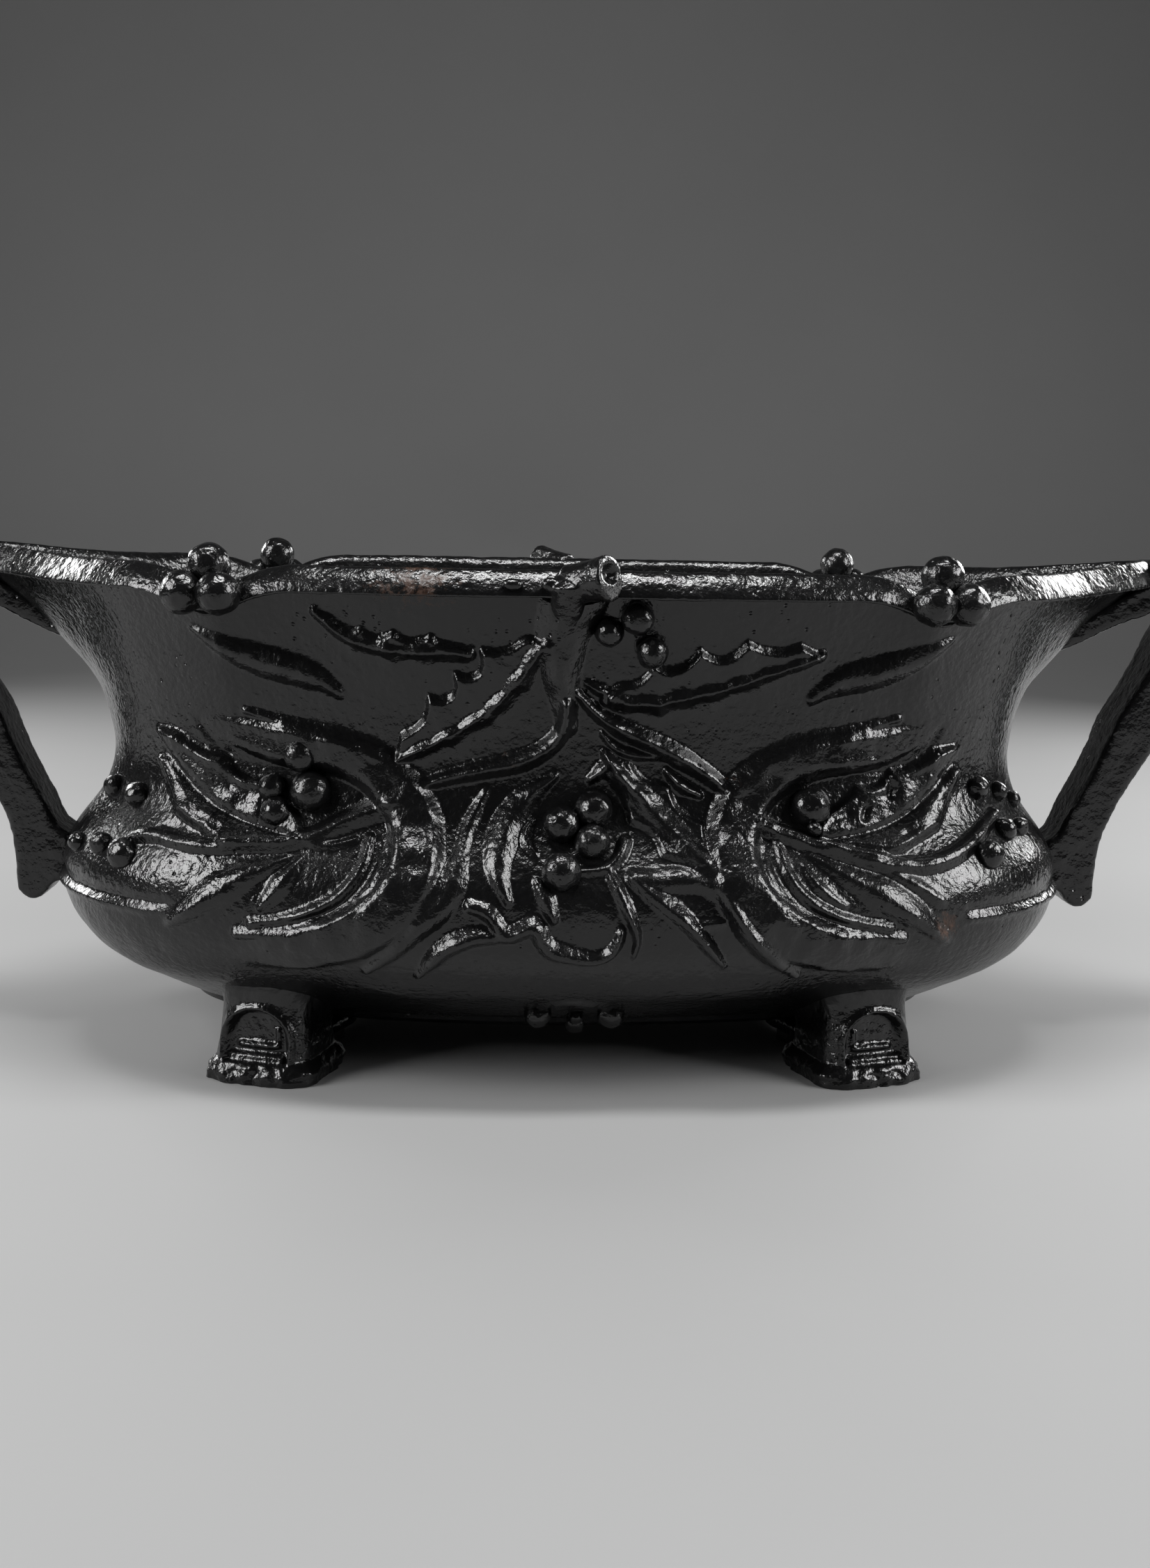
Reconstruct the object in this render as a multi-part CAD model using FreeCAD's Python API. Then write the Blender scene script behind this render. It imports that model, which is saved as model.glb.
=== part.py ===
import FreeCAD
import Part

import math
import os

# Cast iron planter: an oval bowl of four bolted panel castings round a base plate, on four cast feet,
# with two strap handles and a sheet zinc liner that lifts out by two folding wire bails.
# Millimetres, +Z up, the long axis along X, the front faces -Y, the origin on the floor under the centre.

Vector = FreeCAD.Vector

# Bowl: the neck line is a four-centre oval, and every offset runs outwards from it.
NECK_HALF_LENGTH = 141.5
NECK_HALF_DEPTH = 72.0
NECK_END_RADIUS = 61.0
BASE_HEIGHT = 13.5
BASE_INSET = 37.0
BELLY_HEIGHT = 58.0
BELLY_BULGE = 16.5
NECK_HEIGHT = 97.5
RIM_HEIGHT = 154.6
WALL = 5.0
LEDGE_THICKNESS = 5.0
LEDGE_REACH = 14.0

# Outline of the wall between those heights, as shares of the rise and of the change in offset.
UNDERSIDE_SHARES = [(0.0, 0.0), (0.36, 0.21), (0.56, 0.34), (0.76, 0.48), (0.93, 0.71), (0.985, 0.86)]
WAIST_SHARES = [(0.0, 0.0), (0.02, 0.12), (0.19, 0.31), (0.515, 0.5), (0.82, 0.69), (0.97, 0.875)]
FLARE_SHARES = [
    (0.0, 0.0), (0.03, 0.13), (0.11, 0.3), (0.24, 0.45), (0.38, 0.57), (0.55, 0.73), (0.77, 0.87), (1.0, 1.0),
]

# Rim: a bevelled lip in eight lobes, notched at the four joints and drawn out to a tip over each handle.
FRONT_EDGE = 15.0
SEAM_EDGE = 17.0
TIP_EDGE = 49.0
TIP_TAPER = math.radians(9.5)
TIP_LIFT = 4.0
LOBE_BULGE = 2.0
NOTCH_DEPTH = 8.5
NOTCH_HALF_WIDTH = 24.0
LIP_HEIGHT = 8.0
LIP_OVERHANG = 5.0
LIP_UNDERCUT = 1.0
LIP_SLOPE = 6.0
LIP_CROWN = 0.9
RIM_CROWN = 1.2

# Berry clusters that cover the joints at the rim, cast on the long panels.
CLUSTER_BERRY_RADIUS = 6.3
CLUSTER_TOP_INSET = 2.5
CLUSTER_SIDE_OUTSET = 3.5
CLUSTER_SIDE_SPREAD = 6.5
CLUSTER_SIDE_DROP = 7.0
CLUSTER_STALK_RADIUS = 4.0

# Cut stem end that lies over the middle of the rim on each long panel.
KNOT_RADIUS = 5.0
KNOT_LENGTH = 17.0
KNOT_TURN = 24.0
KNOT_DROP = 1.0

# Cast relief on the long panels: places are shares of the joint's X and of the face from base to lip.
SCROLL_SHARES = [
    (0.98, 0.69), (0.83, 0.67), (0.67, 0.65), (0.54, 0.61), (0.47, 0.55), (0.45, 0.48), (0.47, 0.42),
    (0.52, 0.36), (0.61, 0.3), (0.76, 0.28), (0.93, 0.26),
]
SCROLL_WIDTH_SHARES = [0.75, 0.9, 1.0, 1.0, 1.0, 1.0, 1.0, 1.0, 0.95, 0.8, 0.6]
SCROLL_WIDTH = 13.0
SCROLL_RISE = 2.6
STRAP_SHARES = [(0.98, 0.86), (0.87, 0.84), (0.76, 0.81), (0.67, 0.77)]
STRAP_WIDTH = 7.0
STRAP_RISE = 2.2
STEM_SHARES = [
    [(0.0, 0.97), (0.0, 0.9), (-0.02, 0.8), (-0.03, 0.71)],
    [(-0.01, 0.75), (-0.1, 0.67), (-0.23, 0.63), (-0.4, 0.61)],
    [(0.0, 0.8), (0.12, 0.72), (0.27, 0.66), (0.43, 0.6)],
]
STEM_WIDTH = 6.0
STEM_RISE = 2.2
UPPER_LEAF_SHARES = [
    [(-0.12, 0.92), (-0.21, 0.85), (-0.28, 0.79), (-0.37, 0.73), (-0.5, 0.66)],
    [(-0.33, 0.88), (-0.45, 0.88), (-0.58, 0.89), (-0.72, 0.95)],
    [(0.1, 0.79), (0.23, 0.8), (0.35, 0.82), (0.47, 0.85), (0.6, 0.86), (0.69, 0.88)],
]
UPPER_LEAF_WIDTH_SHARES = [
    [0.25, 0.83, 1.0, 0.75, 0.21],
    [0.25, 0.54, 0.46, 0.21],
    [0.25, 0.75, 0.92, 0.71, 0.38, 0.21],
]
LOWER_LEAF_SHARES = [
    [(0.39, 0.44), (0.32, 0.49), (0.24, 0.56), (0.17, 0.61), (0.09, 0.66)],
    [(-0.19, 0.38), (-0.22, 0.44), (-0.21, 0.49), (-0.18, 0.54), (-0.12, 0.58), (-0.06, 0.62)],
    [(-0.19, 0.58), (-0.28, 0.52), (-0.32, 0.45), (-0.38, 0.39), (-0.47, 0.31), (-0.6, 0.22)],
    [(-0.17, 0.3), (-0.27, 0.3), (-0.36, 0.27), (-0.44, 0.2)],
    [(0.14, 0.42), (0.23, 0.38), (0.32, 0.33), (0.41, 0.24)],
]
LOWER_LEAF_WIDTH_SHARES = [
    [0.25, 0.79, 0.83, 0.54, 0.21],
    [0.21, 0.29, 0.35, 0.33, 0.25, 0.21],
    [0.21, 0.58, 0.71, 0.67, 0.46, 0.21],
    [0.21, 0.38, 0.33, 0.21],
    [0.21, 0.54, 0.5, 0.21],
]
LEAF_WIDTH = 24.0
LEAF_RISE = 2.4
BERRY_RADIUS = 4.6
BERRY_LIFT = 0.9
SKIN_PROBE = 2.0
BERRY_SHARES = [
    (0.17, 0.95), (0.22, 0.88), (0.08, 0.91),
    (-0.04, 0.53), (0.06, 0.56), (0.045, 0.47), (-0.04, 0.43),
    (-0.79, 0.65), (-0.88, 0.58), (-0.76, 0.57), (-0.85, 0.51), (0.69, 0.56),
]

# Cuts and fits
OVERRUN = 2.0
SEAT_GAP = 0.15
PLATE_GAP = 0.5
HOLE_GAP = 0.3
THREAD_GAP = 0.1
SPOT_DEPTH = 0.8
SLOT_SHARE = 0.3

# Joint lugs inside the bowl, two at each joint, with a screw and a nut through each pair.
LUG_UPPER_RISE = 12.0
LUG_THICKNESS = 7.0
LUG_REACH = 13.0
LUG_ROOT_SHARE = 0.4
LUG_HEIGHT = 13.0
LUG_AXIS_INSET = 8.0
SEAM_SCREW_RADIUS = 2.5
SEAM_HEAD_RADIUS = 4.5
SEAM_HEAD_HEIGHT = 3.0
SEAM_NUT_ACROSS = 8.0
SEAM_NUT_HEIGHT = 4.0
SCREW_POINT = 2.0

# Base plate
PLATE_THICKNESS = 5.0

# Feet, each with a tongue that is clamped under the ledge by one countersunk screw.
FOOT_END_INSET = 54.5
FOOT_FRONT_INSET = 26.0
FOOT_TURN = 18.0
FOOT_SOLE_WIDTH = 35.0
FOOT_SOLE_DEPTH = 35.0
FOOT_ANKLE_WIDTH = 25.0
FOOT_ANKLE_DEPTH = 26.0
FOOT_HEIGHT = 36.0
FOOT_WELT_HEIGHT = 9.0
FOOT_WELT_STEP = 1.2
FOOT_CORNER = 7.0
FOOT_ARCH_WIDTH = 20.0
FOOT_ARCH_DEPTH = 3.0
FOOT_ARCH_RISE = 6.0
FOOT_SCREW_END_INSET = 66.5
FOOT_SCREW_INSET = 46.0
FOOT_SCREW_RADIUS = 3.0
FOOT_HEAD_RADIUS = 5.6
FOOT_TONGUE_WIDTH = 20.0
FOOT_TONGUE_THICKNESS = 5.0
FOOT_NUT_ACROSS = 10.0
FOOT_NUT_HEIGHT = 5.0

# Handles: flat straps, drawn as a side outline in X and Z from the belly and the rim tip.
HANDLE_REACH = 73.5
HANDLE_FOOT_HEIGHT = 45.5
HANDLE_WIDTH = 24.0
HANDLE_FOOT_WIDTH = 16.0
HANDLE_SEAT_SHARE = 0.5
HANDLE_OUTER_SHARES = [
    (0.88, 1.0), (0.97, 0.975), (1.0, 0.93), (0.945, 0.81), (0.83, 0.65), (0.67, 0.48), (0.56, 0.365),
    (0.48, 0.26), (0.44, 0.16), (0.435, 0.065), (0.415, 0.015), (0.37, 0.0), (0.32, 0.015), (0.28, 0.05),
]
HANDLE_BOSS_SHARES = [(0.2, 0.06), (0.2, 0.19)]
HANDLE_INNER_SHARES = [
    (0.26, 0.22), (0.33, 0.32), (0.41, 0.425), (0.49, 0.555), (0.565, 0.64), (0.65, 0.75), (0.71, 0.83),
    (0.722, 0.862), (0.7, 0.877), (0.64, 0.868), (0.585, 0.85), (0.465, 0.815), (0.37, 0.78), (0.3, 0.757),
]
HANDLE_ROOT_SHARES = [(0.29, 0.8), (0.57, 0.935), (0.62, 1.0)]
HANDLE_BOSS_HEIGHT = 59.0
HANDLE_SCREW_RADIUS = 2.5
HANDLE_HEAD_RADIUS = 4.0
HANDLE_HEAD_HEIGHT = 3.0
HANDLE_SCREW_DEPTH = 9.0
HANDLE_ARM_OFFSET = 35.0
HANDLE_ARM_DEPTH = 4.0

# Liner
LINER_SHEET = 1.0
LINER_GAP = 0.3
LINER_FLOOR_INSET = 41.0
LINER_TOP_INSET = 22.0
LINER_TOP_HEIGHT = 114.0
LINER_BEAD_RADIUS = 2.0
BAIL_WIRE_RADIUS = 1.5
BAIL_GAP = 0.08
BAIL_WIDTH = 28.0
BAIL_DROP = 20.0
BAIL_CORNER = 5.0
BAIL_TOP_INSET = 14.0
BAIL_CLEARANCE = 1.0
STAPLE_RADIUS = 3.0
STAPLE_LENGTH = 14.0

# Plan of the neck oval: end arcs and long arcs meet on the joint planes.
END_CENTRE = NECK_HALF_LENGTH - NECK_END_RADIUS
SIDE_RISE = NECK_HALF_DEPTH - NECK_END_RADIUS
FRONT_CENTRE = (END_CENTRE**2 - SIDE_RISE**2) / (2 * SIDE_RISE)
FRONT_RADIUS = NECK_HALF_DEPTH + FRONT_CENTRE
SEAM_ANGLE = math.atan2(END_CENTRE, FRONT_CENTRE)
END_SPAN = math.pi / 2 - SEAM_ANGLE
JOINT_X = END_CENTRE + NECK_END_RADIUS * math.sin(SEAM_ANGLE)
FACE_HEIGHT = RIM_HEIGHT - LIP_HEIGHT + LIP_UNDERCUT - BASE_HEIGHT
FOOT_X = NECK_HALF_LENGTH - FOOT_END_INSET
FOOT_Y = NECK_HALF_DEPTH - FOOT_FRONT_INSET
FOOT_SCREW_X = NECK_HALF_LENGTH - FOOT_SCREW_END_INSET
LEDGE_TOP = BASE_HEIGHT + LEDGE_THICKNESS
PLATE_TOP = LEDGE_TOP + PLATE_THICKNESS

UP = Vector(0, 0, 1)
ALONG = Vector(1, 0, 0)
ACROSS = Vector(0, 1, 0)
ORIGIN = Vector(0, 0, 0)
HALF_TURN = 180


class Station:
    """One upright plane through the bowl wall, where offsets run outwards from the neck line."""

    def __init__(self, centre, direction, radius, edge, top):
        self.centre = centre
        self.direction = direction
        self.radius = radius
        self.edge = edge
        self.top = top

    def point(self, offset, height):
        return self.centre + self.direction * (self.radius + offset) + UP * height


def notch_dip(reach):
    """How far the rim drops at a distance from the joint, measured along the neck line."""
    return NOTCH_DEPTH * max(0.0, 1 - reach / NOTCH_HALF_WIDTH) ** 2


def front_station(angle):
    share = angle / SEAM_ANGLE
    edge = FRONT_EDGE + (SEAM_EDGE - FRONT_EDGE) * share**2 + LOBE_BULGE * math.sin(math.pi * share) ** 2
    top = RIM_HEIGHT - notch_dip((SEAM_ANGLE - abs(angle)) * FRONT_RADIUS)
    direction = Vector(math.sin(angle), -math.cos(angle), 0)
    return Station(ACROSS * FRONT_CENTRE, direction, FRONT_RADIUS, edge, top)


def end_station(angle):
    pull = math.exp(1 - math.sqrt(1 + (angle / TIP_TAPER) ** 2))
    edge = SEAM_EDGE + (TIP_EDGE - SEAM_EDGE) * pull
    top = RIM_HEIGHT - notch_dip((END_SPAN - abs(angle)) * NECK_END_RADIUS) + TIP_LIFT * pull
    direction = Vector(math.cos(angle), math.sin(angle), 0)
    return Station(ALONG * END_CENTRE, direction, NECK_END_RADIUS, edge, top)


def flank(station):
    """Outer outline of the wall from the base to the underside of the lip, as (offset, height) pairs."""
    base = (-BASE_INSET, BASE_HEIGHT)
    belly = (BELLY_BULGE, BELLY_HEIGHT)
    neck = (0.0, NECK_HEIGHT)
    lip = (station.edge - LIP_OVERHANG, station.top - LIP_HEIGHT + LIP_UNDERCUT)
    points = []
    for start, end, shares in (
        (base, belly, UNDERSIDE_SHARES),
        (belly, neck, WAIST_SHARES),
        (neck, lip, FLARE_SHARES),
    ):
        for across_share, rise_share in shares:
            points.append(
                (
                    start[0] + (end[0] - start[0]) * across_share,
                    start[1] + (end[1] - start[1]) * rise_share,
                )
            )
    return points


def shifted(points, distance):
    """The outline moved outwards by a distance, square to itself."""
    moved = []
    last = len(points) - 1
    for i, (offset, height) in enumerate(points):
        before = points[max(i - 1, 0)]
        after = points[min(i + 1, last)]
        run = after[0] - before[0]
        rise = after[1] - before[1]
        length = math.hypot(run, rise)
        moved.append((offset + distance * rise / length, height - distance * run / length))
    return moved


def offset_at(points, height):
    """Offset of an outline at a height, between its points."""
    for low, high in zip(points, points[1:]):
        if low[1] <= height <= high[1]:
            share = (height - low[1]) / (high[1] - low[1])
            return low[0] + (high[0] - low[0]) * share
    raise ValueError("height is off the outline")


def inner_flank(station):
    """Inner outline of the wall, from the ledge up."""
    points = shifted(flank(station), -WALL)
    foot = (offset_at(points, LEDGE_TOP), LEDGE_TOP)
    return [foot] + [p for p in points if p[1] > LEDGE_TOP + WALL]


def spline(station, pairs):
    curve = Part.BSplineCurve()
    curve.interpolate([station.point(*p) for p in pairs])
    return curve.toShape()


def line(station, a, b):
    return Part.makeLine(station.point(*a), station.point(*b))


def bowed(station, a, b, bow):
    """Arc from a to b, bowed to the right of the way from a to b."""
    run = b[0] - a[0]
    rise = b[1] - a[1]
    length = math.hypot(run, rise)
    middle = ((a[0] + b[0]) / 2 + bow * rise / length, (a[1] + b[1]) / 2 - bow * run / length)
    return Part.Arc(station.point(*a), station.point(*middle), station.point(*b)).toShape()


def wall_section(station):
    """Closed outline of the casting at a station: wall, lip and ledge."""
    outer = flank(station)
    inner = inner_flank(station)
    edge = (station.edge, station.top - LIP_HEIGHT)
    crown = (station.edge - LIP_SLOPE, station.top)
    ledge_end = -BASE_INSET - LEDGE_REACH
    return Part.Wire(
        [
            spline(station, outer),
            line(station, outer[-1], edge),
            bowed(station, edge, crown, LIP_CROWN),
            bowed(station, crown, inner[-1], RIM_CROWN),
            spline(station, inner[::-1]),
            line(station, inner[0], (ledge_end, LEDGE_TOP)),
            line(station, (ledge_end, LEDGE_TOP), (ledge_end, BASE_HEIGHT)),
            line(station, (ledge_end, BASE_HEIGHT), outer[0]),
        ]
    )


def filled_section(station, outline, grow):
    """Closed outline of all that lies within a run of the casting's outer face, grown by a clearance."""
    outer = shifted(outline, grow)
    inside = -BASE_INSET - LEDGE_REACH
    low = (inside, outer[0][1])
    high = (inside, outer[-1][1])
    return Part.Wire(
        [
            spline(station, outer),
            line(station, outer[-1], high),
            line(station, high, low),
            line(station, low, outer[0]),
        ]
    )


FRONT_STEPS = 5
END_STEPS = 7
END_CROWDING = 1.5
SKIN_STEPS = 90
REPORT_PLACES = 3


def front_stations():
    """Stations across the front, closer together near the joints."""
    return [
        front_station(SEAM_ANGLE * math.sin(math.pi / 2 * step / FRONT_STEPS))
        for step in range(-FRONT_STEPS, FRONT_STEPS + 1)
    ]


def end_stations():
    """Stations round an end, closer together near the tip."""
    return [
        end_station(math.copysign(END_SPAN * abs(step / END_STEPS) ** END_CROWDING, step))
        for step in range(-END_STEPS, END_STEPS + 1)
    ]


def underside_seat(stations):
    """Solid within the bowl's underside, from the base to the belly, for seating the feet."""
    count = len(UNDERSIDE_SHARES) + 1
    sections = [filled_section(s, flank(s)[:count], SEAT_GAP) for s in stations]
    return Part.makeLoft(sections, True)


def end_seat():
    """Solids within the middle of an end panel and within its lip, for seating a handle."""
    stations = [s for s in end_stations() if abs(s.direction.y) < HANDLE_SEAT_SHARE]
    wall = Part.makeLoft([filled_section(s, flank(s), SEAT_GAP) for s in stations], True)
    lips = []
    for s in stations:
        low = s.top - LIP_HEIGHT - SEAT_GAP
        high = s.top + OVERRUN
        inside = s.edge - LIP_OVERHANG - WALL
        edge = (s.edge + SEAT_GAP, low)
        crown = (s.edge - LIP_SLOPE + SEAT_GAP, s.top)
        lips.append(
            Part.Wire(
                [
                    bowed(s, edge, crown, LIP_CROWN),
                    line(s, crown, (crown[0], high)),
                    line(s, (crown[0], high), (inside, high)),
                    line(s, (inside, high), (inside, low)),
                    line(s, (inside, low), edge),
                ]
            )
        )
    return [wall, Part.makeLoft(lips, True)]


class Joint:
    """One of the four upright joints, named by the signs of its corner: side is X, face is Y."""

    def __init__(self, side, face):
        self.radial = Vector(side * math.sin(SEAM_ANGLE), face * math.cos(SEAM_ANGLE), 0)
        self.towards_middle = Vector(-side * math.cos(SEAM_ANGLE), face * math.sin(SEAM_ANGLE), 0)
        self.centre = ALONG * (side * END_CENTRE)

    def point(self, offset, along, height):
        base = self.centre + self.radial * (NECK_END_RADIUS + offset)
        return base + self.towards_middle * along + UP * height


def prism(points, rise):
    """Upright prism on a closed run of points."""
    return Part.Face(Part.makePolygon(points + points[:1])).extrude(UP * rise)


def screw(radius, length, head_radius, head_height):
    """Slotted cheese-head screw with its seat at the origin and its shank along -Z."""
    shank = Part.makeCylinder(radius, length, ORIGIN, -UP)
    head = Part.makeCylinder(head_radius, head_height)
    slot_width = head_radius * SLOT_SHARE
    slot_depth = head_height / 2
    slot = Part.makeBox(2 * head_radius, slot_width, head_height)
    slot.translate(Vector(-head_radius, -slot_width / 2, slot_depth))
    return head.cut(slot).fuse(shank).removeSplitter()


def hexagon_nut(across, height, bore):
    """Hexagon nut on the origin, rising along +Z."""
    corner = ALONG * (across / math.sqrt(3))
    rim = [FreeCAD.Rotation(UP, HALF_TURN / 3 * i).multVec(corner) for i in range(6)]
    return prism(rim, height).cut(Part.makeCylinder(bore, height))


def placed(shape, base, direction):
    """The shape moved to a base point with its +Z turned to a direction."""
    moved = shape.copy()
    moved.Placement = FreeCAD.Placement(base, FreeCAD.Rotation(UP, direction))
    return moved


def half_turn(shape):
    """The same piece on the other side of the upright axis."""
    turned = shape.copy()
    turned.rotate(ORIGIN, UP, HALF_TURN)
    return turned


def mirrored(shape, normal):
    """The piece's mirror image across the plane through the origin with this normal."""
    return shape.mirror(ORIGIN, normal)


def cluster(joint, grow):
    """Three berries and their stalk in the notch over a joint, grown by a clearance."""
    radius = CLUSTER_BERRY_RADIUS + grow
    top = joint.point(SEAM_EDGE - CLUSTER_TOP_INSET, 0, RIM_HEIGHT)
    stalk_rise = NOTCH_DEPTH + LIP_HEIGHT / 2
    stalk = Part.makeCylinder(CLUSTER_STALK_RADIUS + grow, stalk_rise, top - UP * stalk_rise)
    berries = [Part.makeSphere(radius, top), stalk]
    for way in (-1, 1):
        along = way * CLUSTER_SIDE_SPREAD
        height = RIM_HEIGHT - CLUSTER_SIDE_DROP
        berries.append(Part.makeSphere(radius, joint.point(SEAM_EDGE + CLUSTER_SIDE_OUTSET, along, height)))
    return berries


def knot():
    """Cut stem end over the middle of the front rim."""
    middle = front_station(0.0).point(FRONT_EDGE - LIP_SLOPE, RIM_HEIGHT - KNOT_DROP)
    way = FreeCAD.Rotation(UP, -KNOT_TURN).multVec(ALONG)
    return Part.makeCylinder(KNOT_RADIUS, KNOT_LENGTH, middle - way * (KNOT_LENGTH / 2), way)


def skin_outline(angle):
    """The front panel's outer outline at an angle, drawn finely."""
    curve = Part.BSplineCurve()
    curve.interpolate([Vector(offset, height, 0) for offset, height in flank(front_station(angle))])
    return [(p.x, p.y) for p in curve.discretize(SKIN_STEPS)]


def skin_point(x, height):
    """Point of the front panel's outer face over a given X at a height."""
    angle = math.asin(x / FRONT_RADIUS)
    for _ in range(2):
        offset = offset_at(skin_outline(angle), height)
        angle = math.asin(x / (FRONT_RADIUS + offset))
    return front_station(angle).point(offset, height)


def skin_frame(shares):
    """Point and outward normal of the front face at shares of the joint's X and of the face's height."""
    x = shares[0] * JOINT_X
    height = BASE_HEIGHT + shares[1] * FACE_HEIGHT
    here = skin_point(x, height)
    beside = skin_point(x + SKIN_PROBE, height)
    above = skin_point(x, height + SKIN_PROBE)
    return here, (beside - here).cross(above - here).normalize()


def strip(path_shares, widths, rise, straight):
    """Raised strip along a path on the front face, with an oval section and straight or curved runs."""
    frames = [skin_frame(pair) for pair in path_shares]
    sections = []
    last = len(frames) - 1
    for i, ((here, normal), width) in enumerate(zip(frames, widths)):
        way = frames[min(i + 1, last)][0] - frames[max(i - 1, 0)][0]
        across = normal.cross(way).normalize()
        upright = way.cross(across).normalize()
        ellipse = Part.Ellipse(here + across * (width / 2), here + upright * rise, here)
        sections.append(Part.Wire(ellipse.toShape()))
    return Part.makeLoft(sections, True, straight)


def scrolls():
    """C scrolls and the straps over them, cast on the front panel."""
    scroll = strip(SCROLL_SHARES, [SCROLL_WIDTH * share for share in SCROLL_WIDTH_SHARES], SCROLL_RISE, True)
    strap = strip(STRAP_SHARES, [STRAP_WIDTH] * len(STRAP_SHARES), STRAP_RISE, True)
    return [piece for band in (scroll, strap) for piece in (band, mirrored(band, ALONG))]


def stems():
    """Forked stem, cast on the front panel."""
    return [strip(path, [STEM_WIDTH] * len(path), STEM_RISE, False) for path in STEM_SHARES]


def leaves(paths, width_shares):
    """Holly leaves, cast on the front panel."""
    return [
        strip(path, [LEAF_WIDTH * share for share in shares], LEAF_RISE, True)
        for path, shares in zip(paths, width_shares)
    ]


def berries():
    """Berries cast on the front panel."""
    frames = [skin_frame(pair) for pair in BERRY_SHARES]
    return [Part.makeSphere(BERRY_RADIUS, here + normal * BERRY_LIFT) for here, normal in frames]


LUG_HEIGHTS = [BELLY_HEIGHT, NECK_HEIGHT + LUG_UPPER_RISE]


def lug_root(height):
    """Offset of the wall's inner face at a joint."""
    return offset_at(inner_flank(front_station(SEAM_ANGLE)), height)


def lugs(joint, turn):
    """The lugs on one side of a joint: turn is 1 on the long panel and -1 on the end panel."""
    blocks = []
    for height in LUG_HEIGHTS:
        outer = lug_root(height) + WALL * LUG_ROOT_SHARE
        inner = lug_root(height) - LUG_REACH
        low = height - LUG_HEIGHT / 2
        along = turn * LUG_THICKNESS
        corners = [(inner, 0), (outer, 0), (outer, along), (inner, along)]
        blocks.append(prism([joint.point(o, a, low) for o, a in corners], LUG_HEIGHT))
    return blocks


def seam_axis_points(joint):
    """Where each joint screw crosses the plane of its joint."""
    return [joint.point(lug_root(h) - LUG_AXIS_INSET, 0, h) for h in LUG_HEIGHTS]


def lug_holes(joint):
    reach = LUG_THICKNESS + OVERRUN
    radius = SEAM_SCREW_RADIUS + HOLE_GAP
    return [
        Part.makeCylinder(radius, 2 * reach, p - joint.towards_middle * reach, joint.towards_middle)
        for p in seam_axis_points(joint)
    ]


def seam_fasteners(joint):
    """Screws with their heads on the end panel's lugs, and nuts on the long panel's."""
    length = 2 * LUG_THICKNESS + SEAM_NUT_HEIGHT + SCREW_POINT
    one_screw = screw(SEAM_SCREW_RADIUS, length, SEAM_HEAD_RADIUS, SEAM_HEAD_HEIGHT)
    one_nut = hexagon_nut(SEAM_NUT_ACROSS, SEAM_NUT_HEIGHT, SEAM_SCREW_RADIUS + THREAD_GAP)
    way = joint.towards_middle
    screws = [placed(one_screw, p - way * LUG_THICKNESS, -way) for p in seam_axis_points(joint)]
    nuts = [placed(one_nut, p + way * LUG_THICKNESS, way) for p in seam_axis_points(joint)]
    return screws, nuts


def foot_screw_point(side, face, height):
    """Where a foot's screw passes the ledge of the long panel."""
    arc = FRONT_RADIUS - FOOT_SCREW_INSET
    depth = math.sqrt(arc**2 - FOOT_SCREW_X**2) - FRONT_CENTRE
    return Vector(side * FOOT_SCREW_X, face * depth, height)


def foot_screw_hole(side, face):
    radius = FOOT_SCREW_RADIUS + HOLE_GAP
    return Part.makeCylinder(radius, PLATE_TOP, foot_screw_point(side, face, 0))


def tip_outline():
    """Outer outline of the wall at the middle of an end, where the handle sits."""
    return flank(end_station(0.0))


def handle_fixings():
    """Seat and direction of the two screws that hold the right handle, from inside the bowl."""
    outline = tip_outline()
    belly_inner = offset_at(inner_flank(end_station(0.0)), HANDLE_BOSS_HEIGHT)
    belly_seat = Vector(NECK_HALF_LENGTH + belly_inner + SPOT_DEPTH, 0, HANDLE_BOSS_HEIGHT)
    low, high = outline[-2], outline[-1]
    share = (HANDLE_ARM_OFFSET - low[0]) / (high[0] - low[0])
    skin = Vector(NECK_HALF_LENGTH + HANDLE_ARM_OFFSET, 0, low[1] + (high[1] - low[1]) * share)
    outward = Vector(high[1] - low[1], 0, low[0] - high[0]).normalize()
    arm_seat = skin - outward * (WALL - SPOT_DEPTH)
    return [(belly_seat, ALONG, HANDLE_SCREW_DEPTH), (arm_seat, outward, HANDLE_ARM_DEPTH)]


def handle_holes():
    """Clearance holes and spot faces for the handle screws."""
    cuts = []
    for seat, way, depth in handle_fixings():
        cuts.append(Part.makeCylinder(HANDLE_SCREW_RADIUS + HOLE_GAP, WALL + OVERRUN, seat, way))
        cuts.append(Part.makeCylinder(HANDLE_HEAD_RADIUS + HOLE_GAP, WALL, seat, -way))
    return cuts


def front_panel():
    """Long panel with its lugs, clusters and relief: wall, lip and ledge in one casting."""
    wall = Part.makeLoft([wall_section(s) for s in front_stations()], True)
    joints = [Joint(side, -1) for side in (-1, 1)]
    inside = [lug for j in joints for lug in lugs(j, 1)]
    corners = [berry for j in joints for berry in cluster(j, 0.0)]
    for added in (
        scrolls(),
        stems(),
        leaves(UPPER_LEAF_SHARES, UPPER_LEAF_WIDTH_SHARES),
        leaves(LOWER_LEAF_SHARES, LOWER_LEAF_WIDTH_SHARES),
        berries(),
        inside + corners + [knot()],
    ):
        wall = wall.fuse(added)
    holes = [hole for j in joints for hole in lug_holes(j)]
    holes += [foot_screw_hole(side, -1) for side in (-1, 1)]
    return wall.cut(holes)


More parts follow.
